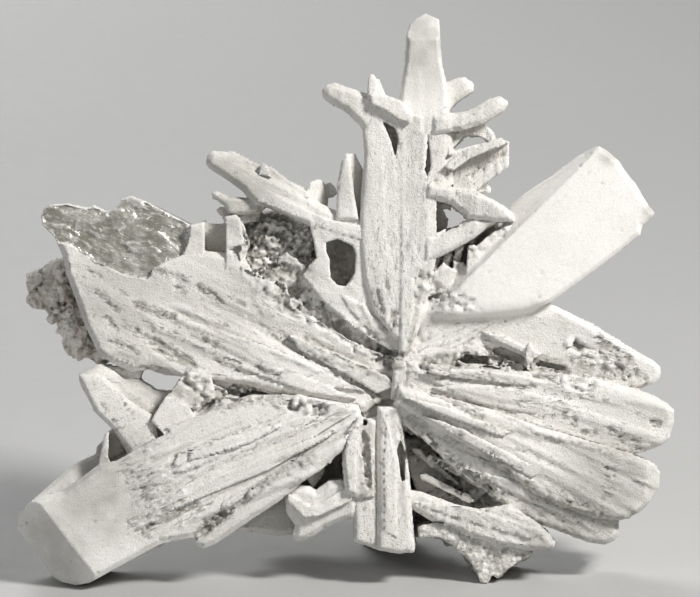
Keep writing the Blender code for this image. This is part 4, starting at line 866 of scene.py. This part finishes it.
def crystal_material():
    """Weathered white cerussite: chalky faces, olive-grey grime in the pits, grey sugary hollows, painted
    shade in creases, deep hollows and on faces turned from the light, painted highlights on edges.
    """
    n = Nodes("white_cerussite")
    n.shader.inputs["IOR"].default_value = CRYSTAL_INDEX
    smooth, ruined = n.mark("smooth"), n.mark("ruined")
    colour = n.mix(n.fit(n.noise(35, 4, 0.6), 0.40, 0.62), CHALK, DULL_CHALK)
    # Partly painted shade, in places and on faces turned from the light, partly grey wear on the back.
    colour = n.mix(n.times(n.mark("grey"), 0.85), colour, GREY_WEAR_AND_SHADE)
    blotch = n.times(n.fit(n.noise(160, 4, 0.65), 0.50, 0.66), n.fit(smooth, 0.0, 1.0, 0.5, 0.1))
    colour = n.mix(blotch, colour, BLOTCH)
    colour = n.mix(n.fit(smooth, 0.0, 1.0, 0.2, 0.0), colour, FILM)
    powder = n.fit(n.noise(3600, 2, 0.6), 0.42, 0.60)
    colour = n.mix(n.times(powder, n.fit(smooth, 0.0, 1.0, 0.24, 0.12)), colour, POWDER)
    speckle = n.fit(n.noise(2100, 3, 0.75), 0.61, 0.67)
    colour = n.mix(n.times(speckle, n.fit(smooth, 0.0, 1.0, 0.5, 0.12)), colour, DIRT)
    dash = n.fit(n.sum(n.lengthwise(0.55, 2.6), n.times(ruined, 0.26)), 0.66, 0.70)
    colour = n.mix(n.times(dash, n.fit(ruined, 0.0, 0.3, 0.20, 0.50)), colour, DASH)
    pepper = n.times(n.fit(n.noise(1250, 3, 0.7), 0.63, 0.67), n.fit(ruined, 0.02, 0.25, 0.0, 0.75))
    colour = n.mix(pepper, colour, PEPPER)
    sugar = n.times(n.mark("sugar"), n.fit(n.noise(560, 4, 0.7), 0.36, 0.60, 0.25, 1.0))
    colour = n.mix(n.times(sugar, 0.72), colour, DIRT)
    # Painted shade in inner corners and creases.
    hollow = n.times(n.mark("hollow"), n.fit(n.noise(330, 4, 0.65), 0.3, 0.62, 0.45, 1.0))
    colour = n.mix(n.times(hollow, 0.62), colour, CORNER_SHADE)
    pits = n.times(n.mark("pits"), n.fit(n.noise(1100, 3, 0.65), 0.36, 0.60, 0.2, 1.0))
    colour = n.mix(n.times(pits, 0.62), colour, PIT)
    # Painted shade in the deep hollows and between the rubble's blocks.
    shade = n.times(n.mark("shade"), n.fit(n.noise(300, 4, 0.7), 0.35, 0.6, 0.6, 1.0))
    colour = n.mix(n.times(shade, 0.85), colour, DEEP_SHADE)
    # Painted highlight along sharp outer edges.
    colour = n.mix(n.times(n.mark("edge"), 0.3), colour, RIM_HIGHLIGHT)
    glint = n.fit(n.cells(2300, "Color"), 0.90, 0.93)
    roughness = n.fit(glint, 0.0, 1.0, 0.72, 0.3)
    height = n.sum(n.noise(2400, 5, 0.75), n.times(n.cells(3900), -0.4))
    height = n.sum(height, n.times(dash, -1.0))
    return n.paint(colour, roughness, n.bump(height, n.fit(smooth, 0.0, 1.0, 0.75, 0.3), 0.0002))


def glass_material():
    """The fresh break: clear grey-green cerussite with inner flaws and a bright lustre, with painted glints
    and painted highlights on its edges.
    """
    n = Nodes("glassy_break")
    n.shader.inputs["IOR"].default_value = GLASS_INDEX
    n.shader.inputs["Transmission Weight"].default_value = 0.15
    colour = n.mix(n.fit(n.noise(210, 6, 0.75), 0.42, 0.60), GLASS_DARK, GLASS_LIGHT)
    flow = n.lengthwise(0.45, 1.5)
    streaks = n.times(n.fit(flow, 0.53, 0.62), n.fit(n.noise(240, 4, 0.7), 0.42, 0.60))
    colour = n.mix(n.times(streaks, 0.8), colour, GLASS_STREAK)
    colour = n.mix(n.times(n.fit(flow, 0.44, 0.38), 0.45), colour, GLASS_FLAW)
    hair = n.times(n.fit(n.lengthwise(0.6, 3.4), 0.58, 0.64), n.fit(n.noise(260, 3), 0.45, 0.60))
    colour = n.mix(n.times(hair, 0.65), colour, GLASS_HAIR)
    # Painted glints: small white specks.
    painted_glint = n.times(n.fit(n.noise(1000, 2, 0.6), 0.62, 0.65), n.fit(n.noise(120, 2), 0.46, 0.56))
    colour = n.mix(painted_glint, colour, GLASS_GLINT)
    # Painted highlight along the break's sharp edges.
    colour = n.mix(n.times(n.mark("edge"), 0.7), colour, GLASS_EDGE_HIGHLIGHT)
    roughness = n.fit(n.noise(520, 4), 0.35, 0.7, 0.08, 0.32)
    height = n.sum(n.times(n.noise(700, 5, 0.6), 0.7), n.times(flow, 0.6))
    return n.paint(colour, roughness, n.bump(height, 0.5, 0.0005))


def matrix_material(name, dark, middle, pale):
    """Crumbly matrix in three tones, rusty or cream in places, with painted shade in its hollows and painted
    highlights on its edges.
    """
    n = Nodes(name)
    colour = n.mix(n.fit(n.mark("tint"), 0.25, 0.75), dark, middle)
    colour = n.mix(n.fit(n.noise(330, 4, 0.65), 0.46, 0.62), colour, pale)
    colour = n.mix(n.fit(n.mark("crumb"), 0.72, 0.92, 0.0, 0.6), colour, pale)
    speckle = n.fit(n.noise(1300, 3, 0.75), 0.56, 0.66)
    colour = n.mix(n.times(speckle, 0.45), colour, tuple(0.7 * c for c in dark))
    rust = n.times(n.mark("rust"), n.fit(n.noise(420, 4, 0.7), 0.38, 0.58))
    colour = n.mix(n.times(rust, 0.75), colour, RUST_BROWN)
    cream = n.times(n.mark("cream"), n.fit(n.noise(300, 3), 0.3, 0.55, 0.5, 1.0))
    colour = n.mix(n.times(cream, 0.9), colour, CREAM_CRUST)
    # Painted shade in the hollows.
    colour = n.mix(n.times(n.mark("hollow"), 0.72), colour, tuple(0.28 * c for c in dark))
    # Painted highlight on the edges.
    colour = n.mix(n.times(n.mark("edge"), 0.35), colour, pale)
    glint = n.fit(n.cells(1500, "Color"), 0.85, 0.9)
    roughness = n.fit(glint, 0.0, 1.0, 0.85, 0.3)
    height = n.sum(n.noise(900, 6, 0.75), n.times(n.cells(1400), -0.7))
    return n.paint(colour, roughness, n.bump(height, 0.8, 0.0004))


def floor_material():
    n = Nodes("pale_floor")
    colour = n.mix(n.fit(n.noise(3, 2), 0.3, 0.7), FLOOR_DARK, FLOOR_LIGHT)
    roughness = n.fit(n.noise(200, 2), 0.3, 0.7, 0.75, 0.85)
    return n.paint(colour, roughness, n.bump(n.noise(900, 2), 0.02, 0.0002))


# Putting the specimen together

TWIN_PIECES = {
    "crystals_top": ("upright", "left_branch"),
    "crystals_upper_left": ("upper_left",),
    "crystals_lower_left": ("lower_left",),
    "crystals_stub": ("stub",),
    "crystals_fan": ("fan_low", "fan_high"),
    "crystals_upper_right": ("upper_right",),
}

# The matrix: each node's piece, material slot, carving and tones from dark to pale.
MATRIX_PIECES = {
    "matrix_crust": {
        "piece": "crust",
        "slot": "brown_crust",
        "carving": {"seed": 101, "size": 2.4, "lump": (1.2, 1.2), "fine": (0.6, 0.6)},
        "tones": ((0.62, 0.575, 0.51), (0.84, 0.80, 0.74), (0.95, 0.93, 0.885)),
    },
    "matrix_pocket": {
        "piece": "pocket",
        "slot": "grey_druse",
        "carving": {"seed": 131, "size": 1.5, "lump": (0.6, 0.9), "fine": (0.85, 0.85)},
        "tones": ((0.30, 0.29, 0.26), (0.58, 0.565, 0.525), (0.93, 0.915, 0.88)),
    },
    "matrix_foot": {
        "piece": "foot",
        "slot": "grey_matrix",
        "carving": {"seed": 161, "size": 2.3, "lump": (0.18, 1.5), "fine": (0.22, 0.5)},
        "tones": ((0.42, 0.405, 0.365), (0.68, 0.665, 0.62), (0.88, 0.865, 0.825)),
    },
}
FLOOR_REACH = 3.0            # from the middle to the floor's edge, in metres


def build_twin(box):
    """The twin's surface as one object per group of arms."""
    skin = carve_crystals()
    faces = arm_of(skin.points[skin.quads].mean(axis=1))
    glassy = skin.marks["glass"][skin.quads].mean(axis=1) > 0.5
    names = list(ARMS)
    white, glass = crystal_material(), glass_material()
    made = []
    for piece, arms in TWIN_PIECES.items():
        chosen = np.isin(faces, [names.index(a) for a in arms])
        obj = object_from(piece, skin.points, skin.quads[chosen], skin.marks, box)
        obj.data.materials.append(white)
        if glassy[chosen].any():
            obj.data.materials.append(glass)
            obj.data.polygons.foreach_set("material_index", glassy[chosen].astype(np.int32))
        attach(obj, "root")
        made.append(obj)
    for obj in made:
        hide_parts("cerussite_twin")


def build_matrix(node, piece, slot, carving, tones):
    """One matrix solid as a carved object inside the solid's own box."""
    skin = carve_matrix(node, **carving)
    obj = object_from(piece, skin.points, skin.quads, skin.marks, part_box(node))
    obj.data.materials.append(matrix_material(slot, *tones))
    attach(obj, "root")
    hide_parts(node)


def build_floor():
    mesh = bpy.data.meshes.new("floor")
    bm = bmesh.new()
    bmesh.ops.create_grid(bm, x_segments=2, y_segments=2, size=FLOOR_REACH)
    bm.to_mesh(mesh)
    bm.free()
    obj = bpy.data.objects.new("floor", mesh)
    bpy.context.scene.collection.objects.link(obj)
    obj.data.materials.append(floor_material())


# Light and camera

AIM = Vector((0.00068, 0.0, 0.04514))
CAMERA_DISTANCE = 1.1
VIEW_WIDTH = 700 / 6 * MM    # width of the photographed field at the specimen
SENSOR = 36.0
NEAREST_SEEN = 0.01

# Lights: name, place and diameter in metres, power in watts and colour.
LIGHTS = [
    ("key", (0.41, -0.28, 0.49), 0.15, 5.8, (1.0, 0.985, 0.96)),
    ("fill", (-0.75, -0.70, 0.45), 0.50, 1.8, (0.98, 0.98, 1.0)),
    ("rim", (-0.25, 0.70, 0.75), 0.45, 4.0, (1.0, 1.0, 1.0)),
    ("back", (-0.35, 0.95, 0.30), 0.60, 2.5, (1.0, 1.0, 1.0)),
]
STUDIO_COLOUR = (0.92, 0.93, 0.95, 1)
STUDIO_STRENGTH = 0.12


def add_camera():
    """A camera that looks straight at the leaning face."""
    data = bpy.data.cameras.new("camera")
    data.sensor_width = SENSOR
    data.lens = SENSOR * CAMERA_DISTANCE / VIEW_WIDTH
    data.clip_start = NEAREST_SEEN
    obj = bpy.data.objects.new("camera", data)
    bpy.context.scene.collection.objects.link(obj)
    towards = Vector((0, -math.cos(LEAN), math.sin(LEAN)))
    obj.location = AIM + towards * CAMERA_DISTANCE
    obj.rotation_euler = (-towards).to_track_quat("-Z", "Y").to_euler()
    bpy.context.scene.camera = obj


def add_light(name, place, size, power, colour):
    data = bpy.data.lights.new(name, "AREA")
    data.shape = "DISK"
    data.size = size
    data.energy = power
    data.color = colour
    obj = bpy.data.objects.new(name, data)
    bpy.context.scene.collection.objects.link(obj)
    obj.location = Vector(place)
    obj.rotation_euler = (AIM - obj.location).to_track_quat("-Z", "Y").to_euler()


def add_studio():
    """The faint light from all sides, and plain colours in the picture."""
    world = bpy.data.worlds.new("studio")
    world.use_nodes = True
    background = world.node_tree.nodes["Background"]
    background.inputs["Color"].default_value = STUDIO_COLOUR
    background.inputs["Strength"].default_value = STUDIO_STRENGTH
    bpy.context.scene.world = world
    bpy.context.scene.view_settings.view_transform = "Standard"


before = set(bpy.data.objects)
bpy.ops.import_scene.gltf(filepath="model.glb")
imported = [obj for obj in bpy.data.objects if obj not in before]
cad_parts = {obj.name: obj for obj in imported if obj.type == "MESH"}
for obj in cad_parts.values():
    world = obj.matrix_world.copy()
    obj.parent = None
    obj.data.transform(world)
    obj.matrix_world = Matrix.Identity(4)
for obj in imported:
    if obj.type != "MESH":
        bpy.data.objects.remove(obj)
cad_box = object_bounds()
add_camera()
for light in LIGHTS:
    add_light(*light)
add_studio()
build_floor()
build_twin(cad_box)
for node, looks in MATRIX_PIECES.items():
    build_matrix(node, **looks)
